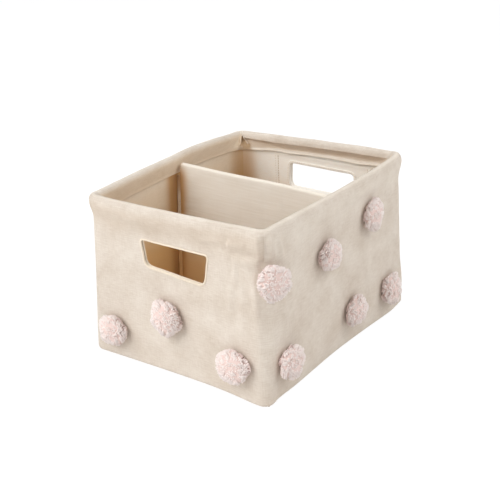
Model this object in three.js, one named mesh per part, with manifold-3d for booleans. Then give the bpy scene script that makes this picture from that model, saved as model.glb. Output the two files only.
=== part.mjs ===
// A fabric diaper caddy: an open box of stiffened canvas on a wire rim, with a sewn-in divider,
// two bound handle openings and yarn pompoms. Millimetres, +Z up, origin at the middle of the base.
// The front handle face looks along -Y and the right wall along +X.
import * as THREE from 'three';
import Module from 'manifold-3d';

const wasm = await Module();
wasm.setup();

// Driving sizes of the whole caddy.
const height = 178;              // floor to the top of the rolled rim
const rimWidth = 224;            // across the handle faces, outside the rolled rim
const rimLength = 276;           // from handle face to handle face, outside the rolled rim
const rimOverhang = 3;           // how far the roll stands out past the wall below it
const cornerRadius = 14;         // upright corners of the body
const sideSpread = 6;            // how far the long walls lean out at the base, at their ends
const endSpread = 4.5;           // how far the handle walls lean out at the base, at their ends
const sideBow = 4.5;             // how far the middle of a long wall is drawn in at the base
const endBow = 1;                // the same on a handle wall

// Cloth, boards and wire.
const canvas = 1;                // outer canvas, also the divider's sleeve and its webs
const lining = 0.8;              // lining, facing and binding cloth
const sideStiffener = 2;         // boards inside the walls
const baseBoard = 2.5;           // board under the floor lining
const layerGap = 0.3;            // air between two neighbouring layers
const seamGap = 0.3;             // air between two panels that meet at a corner seam
const wireDiameter = 4;          // steel ring inside the rolled rim

// Rolled rim and the cuff that hangs from it inside.
const rollRadius = 5.5;          // outside radius of the roll
const flareDrop = 20;            // height over which the wall runs out to the roll
const tuckDrop = 7;              // height over which the roll draws in to the cuff
const cuffDrop = 21;             // from the top of the rim to the free edge of the cuff
const notchWidth = 6;            // open tuck between two cuffs at the back left corner
const notchDrop = 18;

// Bottom edge.
const edgeRadius = 6;            // round between wall and bottom
const lip = 4;                   // how far the walls run on flat under the bottom
const liningTopDrop = 13;        // the lining ends this far under the rim top, behind the cuff

// Handle openings, clear size inside the binding.
const handleTopWidth = 82.5;
const handleBottomWidth = 73.5;
const handleHeight = 29;
const handleDrop = 35.5;         // from the rim top to the top edge of the opening
const handleTopRadius = 5;
const handleBottomRadius = 11;
const frontHandleShift = 1.5;    // how far each opening sits off its wall's middle, to the right wall's side
const backHandleShift = 7.5;
const bindingWidth = 3.2;        // how far the binding laps over the faces
const facingMargin = 24;         // the patch that backs the opening inside reaches this far beside it
const facingBelow = 14;          // and this far below it
const facingTopDrop = 26.5;      // its top edge lies just below the cuff

// Divider.
const dividerClearance = 3.6;    // from each end to the lining below the rim, which the webs bridge
const dividerDrop = 8;           // from the rim top to the top of the divider
const dividerPlace = 1;          // its middle, from the middle of the caddy towards the back wall
const dividerLean = 9;           // how far its left end leans towards the back wall at the top
const dividerBoard = 2.5;
const boardMargin = 3;           // board to the ends of the sleeve
const webDrop = 23;              // from the rim top to the top of the webs

// Pompoms, as sewn to the walls.
const pompomDiameter = 38;
const pompomHeight = 17;         // how far a pompom stands off the wall
const pompomSeat = 16;           // diameter of its flat back
const tuftShare = 0.04;

// How finely curves are cut.
const cornerSteps = 3;           // per half corner
const wallSteps = 8;
const wallLevels = 4;
const handleSteps = 4;
const pompomSides = 12;
const pompomLevels = 6;
const wireSides = 8;

// Places worked out from the sizes above.
const rollCentreZ = height - rollRadius;
const rollCentreInset = rollRadius - rimOverhang;
const bottomInset = edgeRadius + lip;
const stiffenerInset = canvas + layerGap;
const liningInset = stiffenerInset + sideStiffener + layerGap;
const facingInset = liningInset + lining + layerGap;
const cuffInset = facingInset + lining + layerGap;
const innerFace = liningInset + lining;
const boardBottom = canvas + layerGap;
const floorLiningBottom = boardBottom + baseBoard + layerGap;
const floorTop = floorLiningBottom + lining;
const wireZ = height - canvas - layerGap - wireDiameter / 2;
const handleTop = height - handleDrop;
const cutGrow = lining + layerGap;         // the walls are cut this much larger than the clear opening
const dividerTop = height - dividerDrop;
const dividerWidth = rimWidth - 2 * (rimOverhang + innerFace + dividerClearance);
const dividerThickness = dividerBoard + 2 * (layerGap + canvas);
const overrun = 10;                        // how far a cutting solid runs past what it cuts

// Materials, with the colours of the photo.
const canvasCloth = new THREE.MeshStandardMaterial({ color: 0xe9dcc8, roughness: 0.95, metalness: 0 });
const liningCloth = new THREE.MeshStandardMaterial({ color: 0xd9c5a4, roughness: 0.95, metalness: 0 });
const bindingCloth = new THREE.MeshStandardMaterial({ color: 0xf6ecd8, roughness: 0.9, metalness: 0 });
const board = new THREE.MeshStandardMaterial({ color: 0xa98c66, roughness: 0.9, metalness: 0 });
const yarn = new THREE.MeshStandardMaterial({ color: 0xeed6d0, roughness: 1, metalness: 0 });
const steel = new THREE.MeshStandardMaterial({ color: 0xb8bcc0, roughness: 0.35, metalness: 1 });

// The four walls. Each has a direction along it, seen from above anticlockwise, and one outwards.
const walls = {
  front: { along: [1, 0], out: [0, -1], isEnd: true, handleShift: frontHandleShift },
  right: { along: [0, 1], out: [1, 0], isEnd: false },
  back: { along: [-1, 0], out: [0, 1], isEnd: true, handleShift: backHandleShift },
  left: { along: [0, -1], out: [-1, 0], isEnd: false },
};

const caddy = new THREE.Group();

function addPiece(name, geometry, material) {
  const mesh = new THREE.Mesh(geometry, material);
  mesh.name = name;
  caddy.add(mesh);
  return mesh;
}

// How much of the base's spread a wall has at height z: all of it at the floor, none at the roll.
function spreadShare(z) {
  return Math.min(1, Math.max(0, 1 - z / rollCentreZ));
}

// Half of the body at height z: along a wall, and from the middle out to that wall.
function halves(wall, z) {
  const halfWidth = rimWidth / 2 - rimOverhang + sideSpread * spreadShare(z);
  const halfLength = rimLength / 2 - rimOverhang + endSpread * spreadShare(z);
  return wall.isEnd ? [halfWidth, halfLength] : [halfLength, halfWidth];
}

// The point of a wall at a station, `inset` behind its outer face and z above the floor. A station's
// share runs from -1 to 1 over the flat stretch; at either end it has a turn round the corner as well,
// in radians, and a setback from the corner seam.
function wallPoint(wall, station, inset, z) {
  const [halfAlong, halfOut] = halves(wall, z);
  const flat = halfAlong - cornerRadius;
  const bow = (wall.isEnd ? endBow : sideBow) * spreadShare(z) * (1 - station.share ** 2);
  const turned = cornerRadius - inset;
  const end = Math.sign(station.share);
  const along = station.share * flat
    + end * (turned * Math.sin(station.turn) - station.setback * Math.cos(station.turn));
  const out = halfOut - cornerRadius - bow
    + turned * Math.cos(station.turn) + station.setback * Math.sin(station.turn);
  return new THREE.Vector3(
    along * wall.along[0] + out * wall.out[0], along * wall.along[1] + out * wall.out[1], z);
}

function flatStation(share) {
  return { share, turn: 0, setback: 0 };
}

// The station at a distance from the wall's middle, at height z.
function stationAt(wall, distance, z) {
  return flatStation(distance / (halves(wall, z)[0] - cornerRadius));
}

// Stations along a wall from one end of its flat stretch to the other.
function flatStations(from, to, steps) {
  const stations = [];
  for (let i = 0; i <= steps; i += 1) stations.push(flatStation(from + (to - from) * i / steps));
  return stations;
}

// Stations from corner seam to corner seam. The last at each end stops short of the seam.
function seamStations(setback) {
  const round = [];
  for (let i = 1; i <= cornerSteps; i += 1) {
    round.push({ share: 1, turn: Math.PI / 4 * i / cornerSteps, setback: i === cornerSteps ? setback : 0 });
  }
  const before = round.map((station) => ({ ...station, share: -1 })).reverse();
  return [...before, ...flatStations(-1, 1, wallSteps), ...round];
}

// Stations right round the caddy, wall by wall, each with its wall.
function ringStations() {
  return Object.values(walls).flatMap((wall) => seamStations(0).slice(1).map((station) => ({ wall, station })));
}

// A closed body through a row of rings with the same number of points. A row with ends is capped:
// `cap` is the ring's outline in two dimensions. Without it the last ring joins the first.
function sweep(rings, cap) {
  const count = rings[0].length;
  const positions = rings.flatMap((ring) => ring.flatMap((p) => p.toArray()));
  const faces = [];
  const spans = cap ? rings.length - 1 : rings.length;
  for (let r = 0; r < spans; r += 1) {
    const here = r * count;
    const next = ((r + 1) % rings.length) * count;
    for (let i = 0; i < count; i += 1) {
      const j = (i + 1) % count;
      faces.push([here + i, here + j, next + j], [here + i, next + j, next + i]);
    }
  }
  if (cap) {
    const last = spans * count;
    const clockwise = THREE.ShapeUtils.isClockWise(cap);
    for (const triangle of THREE.ShapeUtils.triangulateShape(cap, [])) {
      const [a, b, c] = clockwise ? triangle : triangle.reverse();
      faces.push([a, b, c], [last + c, last + b, last + a]);
    }
  }
  return facingOut(positions, faces);
}

// A geometry from points and faces, turned so that its faces point out.
function facingOut(positions, faces) {
  const geometry = new THREE.BufferGeometry();
  geometry.setAttribute('position', new THREE.Float32BufferAttribute(positions, 3));
  const corner = (face, i) => new THREE.Vector3().fromArray(positions, face[i] * 3);
  const volume = faces.reduce((sum, f) => sum + corner(f, 0).dot(corner(f, 1).cross(corner(f, 2))), 0);
  geometry.setIndex((volume < 0 ? faces.map((f) => [f[0], f[2], f[1]]) : faces).flat());
  return geometry;
}

function solidOf(geometry) {
  const triVerts = new Uint32Array(geometry.index.array);
  const vertProperties = geometry.attributes.position.array;
  return new wasm.Manifold(new wasm.Mesh({ numProp: 3, vertProperties, triVerts }));
}

// A geometry with the cutting solids taken out of it.
function without(geometry, ...cutters) {
  const left = cutters.reduce((solid, cutter) => solid.subtract(solidOf(cutter)), solidOf(geometry));
  const { vertProperties, triVerts } = left.getMesh();
  const result = new THREE.BufferGeometry();
  result.setAttribute('position', new THREE.BufferAttribute(vertProperties, 3));
  result.setIndex(new THREE.BufferAttribute(triVerts, 1));
  return result;
}

function levels(from, to, steps) {
  return Array.from({ length: steps + 1 }, (unused, i) => from + (to - from) * i / steps);
}

// Smooth passage from 0 to 1.
function ease(share) {
  return share * share * (3 - 2 * share);
}

// The closed outline of cloth of one thickness that runs along a line drawn in inset and height.
function band(line, thickness) {
  const faces = [thickness / 2, -thickness / 2].map((side) => line.map((point, i) => {
    const ahead = line[Math.min(i + 1, line.length - 1)];
    const behind = line[Math.max(i - 1, 0)];
    const along = ahead.clone().sub(behind).normalize();
    return new THREE.Vector2(point.x - along.y * side, point.y + along.x * side);
  }));
  return [...faces[0], ...faces[1].reverse()];
}

// The middle of a side panel's canvas, from its lip under the bottom, round the bottom edge, up the
// wall, out and over the wire, and down inside to the free edge of the cuff.
function panelLine() {
  const half = canvas / 2;
  const point = (inset, z) => new THREE.Vector2(inset, z);
  const arc = (centre, radius, from, to, steps) => levels(from, to, steps).map((angle) => (
    point(centre.x + radius * Math.cos(angle), centre.y + radius * Math.sin(angle))));
  const flareStart = rollCentreZ - flareDrop;
  const rollInside = rollCentreInset + rollRadius - half;
  const edge = arc(point(edgeRadius, edgeRadius), edgeRadius - half, -Math.PI / 2, -Math.PI, cornerSteps);
  const wall = levels(edgeRadius, flareStart, wallLevels).slice(1).map((z) => point(half, z));
  const flare = levels(0, 1, cornerSteps).slice(1).map((share) => (
    point(half - rimOverhang * ease(share), flareStart + flareDrop * share)));
  const roll = arc(point(rollCentreInset, rollCentreZ), rollRadius - half, Math.PI, 0, 2 * cornerSteps);
  const tuck = levels(0, 1, cornerSteps).slice(1).map((share) => (
    point(rollInside + (cuffInset + half - rollInside) * ease(share), rollCentreZ - tuckDrop * share)));
  return [point(bottomInset, half), ...edge, ...wall, ...flare, ...roll.slice(1), ...tuck,
    point(cuffInset + half, height - cuffDrop)];
}

// The outline of a flat layer of a wall between two heights.
function layerOutline(inset, thickness, bottom, top) {
  return band(levels(bottom, top, wallLevels).map((z) => new THREE.Vector2(inset + thickness / 2, z)), thickness);
}

// A piece of a wall: an outline in inset and height, carried along the wall's stations.
function wallPiece(wall, outline, stations) {
  return sweep(stations.map((station) => outline.map((p) => wallPoint(wall, station, p.x, p.y))), outline);
}

// A sheet that lies in the bottom, `inset` behind the body's outer face all round.
function bottomSheet(inset, bottom, thickness) {
  const ring = (z) => ringStations().map(({ wall, station }) => wallPoint(wall, station, inset, z));
  return sweep([ring(bottom), ring(bottom + thickness)], ring(bottom).map((p) => new THREE.Vector2(p.x, p.y)));
}

// The handle opening's clear outline, seen square to the wall: wider at the top than at the bottom.
function handleShape() {
  const corners = [
    { x: handleTopWidth / 2, y: handleTop, radius: handleTopRadius },
    { x: -handleTopWidth / 2, y: handleTop, radius: handleTopRadius },
    { x: -handleBottomWidth / 2, y: handleTop - handleHeight, radius: handleBottomRadius },
    { x: handleBottomWidth / 2, y: handleTop - handleHeight, radius: handleBottomRadius },
  ];
  const shape = new THREE.Shape();
  corners.forEach((corner, i) => {
    const here = new THREE.Vector2(corner.x, corner.y);
    const towards = (other) => {
      const way = new THREE.Vector2(other.x, other.y).sub(here).normalize();
      return here.clone().addScaledVector(way, corner.radius);
    };
    const start = towards(corners[(i + corners.length - 1) % corners.length]);
    const end = towards(corners[(i + 1) % corners.length]);
    if (i === 0) shape.moveTo(start.x, start.y);
    else shape.lineTo(start.x, start.y);
    shape.quadraticCurveTo(here.x, here.y, end.x, end.y);
  });
  shape.closePath();
  return shape;
}

// The middle of a wall's opening, along the wall.
function handleMiddle(wall) {
  return wall.handleShift * wall.along[0];
}

// The opening's outline where it sits in its wall, widened by `grow` all round.
function handleLoop(wall, grow) {
  const points = handleShape().getPoints(handleSteps).slice(0, -1);
  return points.map((point, i) => {
    const ahead = points[(i + 1) % points.length];
    const behind = points[(i + points.length - 1) % points.length];
    const along = ahead.clone().sub(behind).normalize();
    return new THREE.Vector2(handleMiddle(wall) + point.x + along.y * grow, point.y - along.x * grow);
  });
}

// The point of a wall seen square on, by its distance from the wall's middle.
function facePoint(wall, distance, inset, z) {
  return wallPoint(wall, stationAt(wall, distance, z), inset, z);
}

// A block that cuts the handle opening through every layer of a handle wall.
function handleCutter(wall) {
  const loop = handleLoop(wall, cutGrow);
  const outside = halves(wall, handleTop)[1] + overrun;
  const inside = outside - 2 * overrun - cuffInset;
  const ring = (out) => loop.map((p) => new THREE.Vector3(
    p.x * wall.along[0] + out * wall.out[0], p.x * wall.along[1] + out * wall.out[1], p.y));
  return sweep([ring(outside), ring(inside)], loop);
}

// The folded tape that binds an opening's edge: it laps over both faces of the wall.
function binding(wall) {
  const front = -layerGap - lining;
  const back = facingInset + 2 * lining + layerGap;
  const section = [
    [0, front], [bindingWidth, front], [bindingWidth, front + lining], [lining, front + lining],
    [lining, back - lining], [bindingWidth, back - lining], [bindingWidth, back], [0, back],
  ];
  const loops = section.map(([lap, inset]) => (
    handleLoop(wall, lap).map((p) => facePoint(wall, p.x, inset, p.y))));
  return sweep(loops[0].map((unused, i) => loops.map((loop) => loop[i])));
}

// A wedge that opens the tuck between the cuffs of two walls at their corner.
function cuffNotch(wall, nextWall) {
  const bottom = height - cuffDrop;
  const half = notchWidth / 2;
  const wedge = [
    [-half, bottom - overrun], [half, bottom - overrun], [half, bottom], [0, bottom + notchDrop], [-half, bottom],
  ].map(([x, y]) => new THREE.Vector2(x, y));
  const across = new THREE.Vector3(wall.out[0] - nextWall.out[0], wall.out[1] - nextWall.out[1], 0).normalize();
  const outwards = new THREE.Vector3(wall.out[0] + nextWall.out[0], wall.out[1] + nextWall.out[1], 0).normalize();
  const corner = wallPoint(wall, { share: 1, turn: 0, setback: 0 }, cornerRadius, bottom);
  const ring = (reach) => wedge.map((p) => corner.clone().setZ(p.y)
    .addScaledVector(across, p.x).addScaledVector(outwards, reach));
  return sweep([ring(0), ring(cornerRadius - rollCentreInset)], wedge);
}

const wallNames = Object.keys(walls);
const panelOutline = band(panelLine(), canvas);

// The outer canvas, one panel to a wall.
wallNames.forEach((name, i) => {
  const wall = walls[name];
  const nextWall = walls[wallNames[(i + 1) % wallNames.length]];
  const cutters = wall.isEnd ? [handleCutter(wall)] : [];
  if (name === 'back') cutters.push(cuffNotch(wall, nextWall));
  if (name === 'left') cutters.push(cuffNotch(walls.back, wall));
  addPiece(`${name}_panel`, without(wallPiece(wall, panelOutline, seamStations(seamGap / 2)), ...cutters), canvasCloth);
});
addPiece('bottom_panel', bottomSheet(bottomInset + seamGap, 0, canvas), canvasCloth);

// The boards that keep the walls upright, between the canvas and the lining. The wire lies on them.
wallNames.forEach((name) => {
  const wall = walls[name];
  const top = wireZ - wireDiameter / 2 - layerGap;
  const outline = layerOutline(stiffenerInset, sideStiffener, edgeRadius, top);
  const plate = wallPiece(wall, outline, flatStations(-1, 1, wallSteps));
  addPiece(`${name}_stiffener`, wall.isEnd ? without(plate, handleCutter(wall)) : plate, board);
});
addPiece('base_board', bottomSheet(edgeRadius, boardBottom, baseBoard), board);

// The lining.
wallNames.forEach((name) => {
  const wall = walls[name];
  const outline = layerOutline(liningInset, lining, floorTop + layerGap, height - liningTopDrop);
  const sheet = wallPiece(wall, outline, seamStations(seamGap / 2));
  addPiece(`${name}_lining`, wall.isEnd ? without(sheet, handleCutter(wall)) : sheet, liningCloth);
});
addPiece('floor_lining', bottomSheet(liningInset, floorLiningBottom, lining), liningCloth);

// The facing patch inside each handle wall and the tape that binds the opening.
for (const name of ['front', 'back']) {
  const wall = walls[name];
  const bottom = handleTop - handleHeight - facingBelow;
  const outline = layerOutline(facingInset, lining, bottom, height - facingTopDrop);
  const [from, to] = [-1, 1].map((side) => (
    stationAt(wall, handleMiddle(wall) + side * (handleTopWidth / 2 + facingMargin), handleTop).share));
  const patch = wallPiece(wall, outline, flatStations(from, to, cornerSteps));
  addPiece(`${name}_handle_facing`, without(patch, handleCutter(wall)), liningCloth);
  addPiece(`${name}_handle_binding`, binding(wall), bindingCloth);
}

// The welded wire ring in the roll.
const wireSection = levels(0, 2 * Math.PI, wireSides).slice(1).map((angle) => new THREE.Vector2(
  rollCentreInset + wireDiameter / 2 * Math.cos(angle), wireZ + wireDiameter / 2 * Math.sin(angle)));
const wireStations = ringStations().filter(({ station }) => Math.abs(station.share) === 1);
addPiece('rim_wire', sweep(wireStations.map(({ wall, station }) => (
  wireSection.map((p) => wallPoint(wall, station, p.x, p.y))))), steel);

// The divider leans back a little at its left end, more the higher up.
function dividerMiddle(x, z) {
  return dividerPlace + dividerLean * z / dividerTop * (dividerWidth / 2 - x) / dividerWidth;
}

// An upright plate in the divider's plane, with a rounded or a square top edge.
function dividerPlate(width, thickness, bottom, top, rounded) {
  const half = thickness / 2;
  const arch = levels(0, Math.PI, 2 * cornerSteps).map((angle) => (
    new THREE.Vector2(half * Math.cos(angle), top - half + half * Math.sin(angle))));
  const square = [new THREE.Vector2(half, top), new THREE.Vector2(-half, top)];
  const sides = levels(bottom, top - half, wallLevels);
  const outline = [
    ...sides.slice(0, -1).map((z) => new THREE.Vector2(half, z)),
    ...(rounded ? arch : square),
    ...sides.slice(0, -1).reverse().map((z) => new THREE.Vector2(-half, z)),
  ];
  const rings = levels(-width / 2, width / 2, wallLevels).map((x) => (
    outline.map((p) => new THREE.Vector3(x, dividerMiddle(x, p.y) + p.x, p.y))));
  return sweep(rings, outline);
}

const dividerBottom = floorTop + layerGap;
const sleeve = dividerPlate(dividerWidth, dividerThickness, dividerBottom, dividerTop, true);
const sleeveInside = dividerPlate(dividerWidth - 2 * canvas, dividerThickness - 2 * canvas,
  dividerBottom - overrun, dividerTop - canvas, true);
addPiece('divider_cover', without(sleeve, sleeveInside), liningCloth);
addPiece('divider_board', dividerPlate(dividerWidth - 2 * boardMargin, dividerBoard,
  dividerBottom, dividerTop - dividerThickness / 2, false), board);

// The webs, two thicknesses of canvas, that sew the divider's ends to the long walls.
for (const name of ['left', 'right']) {
  const wall = walls[name];
  const side = wall.out[0];
  const divider = side * (dividerWidth / 2 + layerGap);
  const rings = levels(dividerBottom, height - webDrop, wallLevels).map((z) => {
    const middle = dividerMiddle(divider, z);
    const seam = facePoint(wall, middle * wall.along[1], innerFace + layerGap, z).x;
    return [[divider, -canvas], [seam, -canvas], [seam, canvas], [divider, canvas]].map(([x, y]) => (
      new THREE.Vector3(x, middle + y, z)));
  });
  addPiece(`divider_web_${name}`, sweep(rings, rings[0].map((p) => new THREE.Vector2(p.x, p.y))), liningCloth);
}

// Where the pompoms sit: along the wall as a share of half the caddy's width or length, up it as a share
// of its height, and their size as a share of the usual one. Opposite walls have the same arrangement.
const endPlaceShares = [[-0.7, 0.19, 0.94], [-0.05, 0.38, 1], [0.72, 0.216, 1.05]];
const sidePlaceShares = [
  [-0.93, 0.722, 1], [-0.835, 0.225, 0.96], [-0.25, 0.69, 0.98],
  [0.4, 0.76, 0.96], [0.125, 0.23, 0.96], [0.66, 0.205, 0.94],
];

// A station by its distance along the wall, round the corner too where it lies past the flat stretch.
function stationAlong(wall, distance, z) {
  const flat = halves(wall, z)[0] - cornerRadius;
  const past = Math.max(0, Math.abs(distance) - flat);
  if (past === 0) return flatStation(distance / flat);
  return { share: Math.sign(distance), turn: past / cornerRadius, setback: 0 };
}

// A yarn ball, flat where it is sewn down, with its back at z = 0. `phase` turns its tufts.
function pompomGeometry(sizeShare, phase) {
  const radius = pompomDiameter / 2 * sizeShare;
  const rise = pompomHeight / 2 * sizeShare;
  const seatAngle = Math.acos(pompomSeat / 2 / radius);
  const crownAngle = Math.acos(pompomSeat / 4 / radius);
  const rings = levels(-seatAngle, crownAngle, pompomLevels).map((angle, level) => {
    const fall = Math.sin(angle) / Math.sin(angle < 0 ? seatAngle : crownAngle);
    return levels(0, 2 * Math.PI, pompomSides).slice(1).map((turn) => {
      const tuft = 1 + tuftShare * Math.sin(3 * turn + 2 * level + phase);
      const reach = radius * Math.cos(angle) * tuft;
      return new THREE.Vector3(reach * Math.cos(turn), reach * Math.sin(turn), rise * (1 + fall));
    });
  });
  return sweep(rings, rings[0].map((p) => new THREE.Vector2(p.x, p.y)));
}

// The direction square to a wall's outer face, from its neighbouring points along it and up it.
function outwardsAt(wall, station, z) {
  const nudge = 0.01;
  const neighbour = (side) => (station.turn > 0
    ? { ...station, turn: station.turn + Math.sign(station.share) * side * nudge }
    : { ...station, share: station.share + side * nudge });
  const along = wallPoint(wall, neighbour(1), 0, z).sub(wallPoint(wall, neighbour(-1), 0, z));
  const up = wallPoint(wall, station, 0, z + layerGap).sub(wallPoint(wall, station, 0, z - layerGap));
  return along.cross(up).normalize();
}

for (const name of wallNames) {
  const wall = walls[name];
  const halfAlong = (wall.isEnd ? rimWidth : rimLength) / 2;
  (wall.isEnd ? endPlaceShares : sidePlaceShares).forEach(([alongShare, heightShare, sizeShare], i) => {
    const z = heightShare * height;
    const station = stationAlong(wall, alongShare * halfAlong, z);
    const ball = addPiece(`pompom_${name}_${i + 1}`, pompomGeometry(sizeShare, i), yarn);
    ball.position.copy(wallPoint(wall, station, -layerGap, z));
    ball.quaternion.setFromUnitVectors(new THREE.Vector3(0, 0, 1), outwardsAt(wall, station, z));
  });
}

export default caddy;
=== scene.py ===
# %% [markdown]
# # A fabric diaper caddy
# The real caddy is an open box of cream canvas over stiff boards. The canvas rolls over a steel wire at
# the rim and hangs down inside as a cuff. A divider is sewn between the long walls, the two handle
# openings are bound with tape, and yarn pompoms dot the outside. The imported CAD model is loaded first
# and stays fixed. Everything below is built at its real size, in the same place.

# %% Load the frame
import math
import bpy
import numpy as np
from mathutils import Matrix, Vector


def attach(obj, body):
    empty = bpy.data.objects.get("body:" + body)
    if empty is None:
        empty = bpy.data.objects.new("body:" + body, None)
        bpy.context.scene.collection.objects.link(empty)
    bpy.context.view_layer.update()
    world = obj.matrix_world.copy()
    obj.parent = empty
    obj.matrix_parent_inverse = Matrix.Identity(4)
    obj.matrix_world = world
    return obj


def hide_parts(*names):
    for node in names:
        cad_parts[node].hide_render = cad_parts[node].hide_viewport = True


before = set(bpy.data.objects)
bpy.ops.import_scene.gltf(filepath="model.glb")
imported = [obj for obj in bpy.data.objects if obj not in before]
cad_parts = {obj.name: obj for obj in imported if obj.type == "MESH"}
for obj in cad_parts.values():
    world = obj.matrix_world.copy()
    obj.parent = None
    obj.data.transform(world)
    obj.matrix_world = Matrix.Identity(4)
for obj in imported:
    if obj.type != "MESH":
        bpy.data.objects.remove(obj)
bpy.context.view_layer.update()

# %% [markdown]
# The sizes are those of the CAD model, in millimetres. Only the gaps between the layers are thinner here,
# because cloth lies closer than a solid model may. Meshes are worked out in millimetres too, as a sewing
# pattern is, and only become metres when Blender gets them.

# %% Sizes
MM = 0.001
HEIGHT, RIM_WIDTH, RIM_LENGTH = 178.0, 224.0, 276.0
RIM_OVERHANG, CORNER_RADIUS, BASE_SQUARER, RIM_SQUARER = 3.0, 14.0, 5.0, 3.5
SIDE_SPREAD, END_SPREAD, SIDE_BOW, END_BOW = 6.0, 4.5, 4.5, 1.0
CANVAS, LINING, SIDE_BOARD, BASE_BOARD, WIRE = 0.9, 0.7, 1.8, 2.5, 4.0
LAYER_GAP, SEAM_GAP = 0.08, 0.02
ROLL_RADIUS, FLARE_DROP = 5.5, 20.0
EDGE_RADIUS, LIP, LINING_TOP_DROP = 6.0, 4.0, 7.5
ROLL_Z, ROLL_INSET = HEIGHT - ROLL_RADIUS, ROLL_RADIUS - RIM_OVERHANG
BOARD_INSET = CANVAS + LAYER_GAP
LINING_INSET = BOARD_INSET + SIDE_BOARD + LAYER_GAP
FACING_INSET = LINING_INSET + LINING + LAYER_GAP
CUFF_INSET = FACING_INSET + LINING + LAYER_GAP
FLOOR_Z = CANVAS + LAYER_GAP + BASE_BOARD + LAYER_GAP
FLOOR_TOP = FLOOR_Z + LINING
WIRE_Z = HEIGHT - CANVAS - LAYER_GAP - WIRE / 2
print("rim", RIM_WIDTH, "by", RIM_LENGTH, "mm, floor lining top at", FLOOR_TOP, "mm")

# %% [markdown]
# A few small helpers do the shaping. One rises softly from 0 to 1 between two values, one rises and falls
# again, and one is a bell round zero. Two more turn arrows into arrows of length one, and measure how far
# along a line each of its points lies.

# %% Shaping helpers
def smooth(x, start, end):
    t = np.clip((np.asarray(x, float) - start) / (end - start), 0, 1)
    return t * t * (3 - 2 * t)


def window(x, start, full, fade, end):
    return smooth(x, start, full) * (1 - smooth(x, fade, end))


def bell(x, width, power=2):
    return np.exp(-(x / width) ** power)


def unit(arrows):
    return arrows / np.maximum(np.linalg.norm(arrows, axis=-1, keepdims=True), 1e-9)


def run_along(line):
    return np.concatenate([[0], np.cumsum(np.linalg.norm(np.diff(line, axis=0), axis=1))])


print("half-way up a soft step:", float(smooth(0.5, 0, 1)))

# %% [markdown]
# Each wall is described as someone sewing it would: a distance along the wall, a height, and how deep a
# layer lies behind the outside face. One function turns that into a point in space. Every layer of a wall
# uses it, so canvas, board and lining stay in order however the walls spread or bend.

# %% The four walls
WALLS = {
    "front": {"along": (1, 0), "out": (0, -1), "end": True},
    "right": {"along": (0, 1), "out": (1, 0), "end": False},
    "back": {"along": (-1, 0), "out": (0, 1), "end": True},
    "left": {"along": (0, -1), "out": (-1, 0), "end": False},
}
END_RUN, SIDE_RUN = RIM_WIDTH - 2 * RIM_OVERHANG, RIM_LENGTH - 2 * RIM_OVERHANG
RING_RUN = 2 * (END_RUN + SIDE_RUN)
for place, wall in enumerate(WALLS.values()):
    wall["run"] = END_RUN if wall["end"] else SIDE_RUN
    wall["middle"] = place * (END_RUN + SIDE_RUN) / 2


def spread(z):
    """How much of its full spread the box has at a height: none at the rim, all of it at the floor."""
    return np.clip(1 - np.asarray(z, float) / ROLL_Z, 0, 1)


def halves(wall, z):
    """Half the size of the box along a wall and straight out of it, at a height."""
    half_width = RIM_WIDTH / 2 - RIM_OVERHANG + SIDE_SPREAD * spread(z)
    half_length = RIM_LENGTH / 2 - RIM_OVERHANG + END_SPREAD * spread(z)
    return (half_width, half_length) if wall["end"] else (half_length, half_width)


def corner_radius(z):
    """The base board and the wire keep the corners squarer at the floor and the rim than between them."""
    return CORNER_RADIUS - BASE_SQUARER * (1 - smooth(z, 0, 90)) - RIM_SQUARER * smooth(z, 150, 172)


def flat_half(wall, z):
    """Half of the stretch of a wall that lies between its rounded corners."""
    return halves(wall, z)[0] - corner_radius(z)


print("way round the rim:", RING_RUN, "mm")

# %% [markdown]
# Nothing sewn is perfectly straight. The wire rim of the real caddy rises and dips by a few millimetres,
# and its base edge wanders a little. Both are heights and offsets seen in the photograph, joined into one
# smooth curve round the caddy, and every layer of a wall follows them.

# %% How the walls have settled
def ring_curve(seen, blur):
    """A smooth closed curve round the caddy through values seen at places along its walls."""
    places = [WALLS[name]["middle"] + along for name, spots in seen.items() for along, _ in spots]
    heights = [value for spots in seen.values() for _, value in spots]
    ring = np.arange(0, RING_RUN, 2.0)
    values = np.interp(ring, places, heights, period=RING_RUN)
    blurring = bell(np.minimum(ring, RING_RUN - ring), blur)
    curve = np.fft.ifft(np.fft.fft(values) * np.fft.fft(blurring / blurring.sum())).real
    return lambda place: np.interp(place, ring, curve, period=RING_RUN)


RIM_SEEN = {
    "front": [(-109, -0.4), (-81, -1.6), (-20, -1.3), (11, -0.5), (68, 0.6), (95, 1.5)],
    "right": [(-116, 1.1), (-75, 0.1), (-31, -1.1), (20, -1.5), (82, -1.3), (116, 0.2), (134, 3.0)],
    "back": [(-92, 1.4), (-48, 1.1), (-33, 0.3), (0, -0.3), (48, -2.2), (95, -4.0)],
    "left": [(-120, -4.2), (-96, -2.4), (-78, -0.6), (-42, 1.4), (20, 0.6), (83, -0.5), (125, -1.2)],
}
BASE_SEEN = {
    "front": [(-104, -0.8), (-60, -0.8), (-6, 0.2), (40, 1.6), (68, 4.6), (92, 8.8), (104, 8.6)],
    "right": [(-131, 0.6), (-116, -0.4), (-94, 2.0), (-68, 2.4), (-10, 1.4), (50, 2.4), (98, 3.6),
              (116, 0.6), (131, -2.4)],
    "back": [(-100, -1.6), (0, -0.6)],
    "left": [(0, -0.5), (110, -0.8)],
}
DRAWN_IN_SEEN = {
    "front": [(-90, 0.3), (-50, 0.0)],
    "right": [(60, 0.0), (110, 0.7)],
    "back": [(-109, 1.7), (-80, 0.5), (-40, 0.0)],
    "left": [(60, 0.0), (110, 0.9), (134, 1.5)],
}
rim_rise, base_push = ring_curve(RIM_SEEN, 11.0), ring_curve(BASE_SEEN, 12.0)
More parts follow.
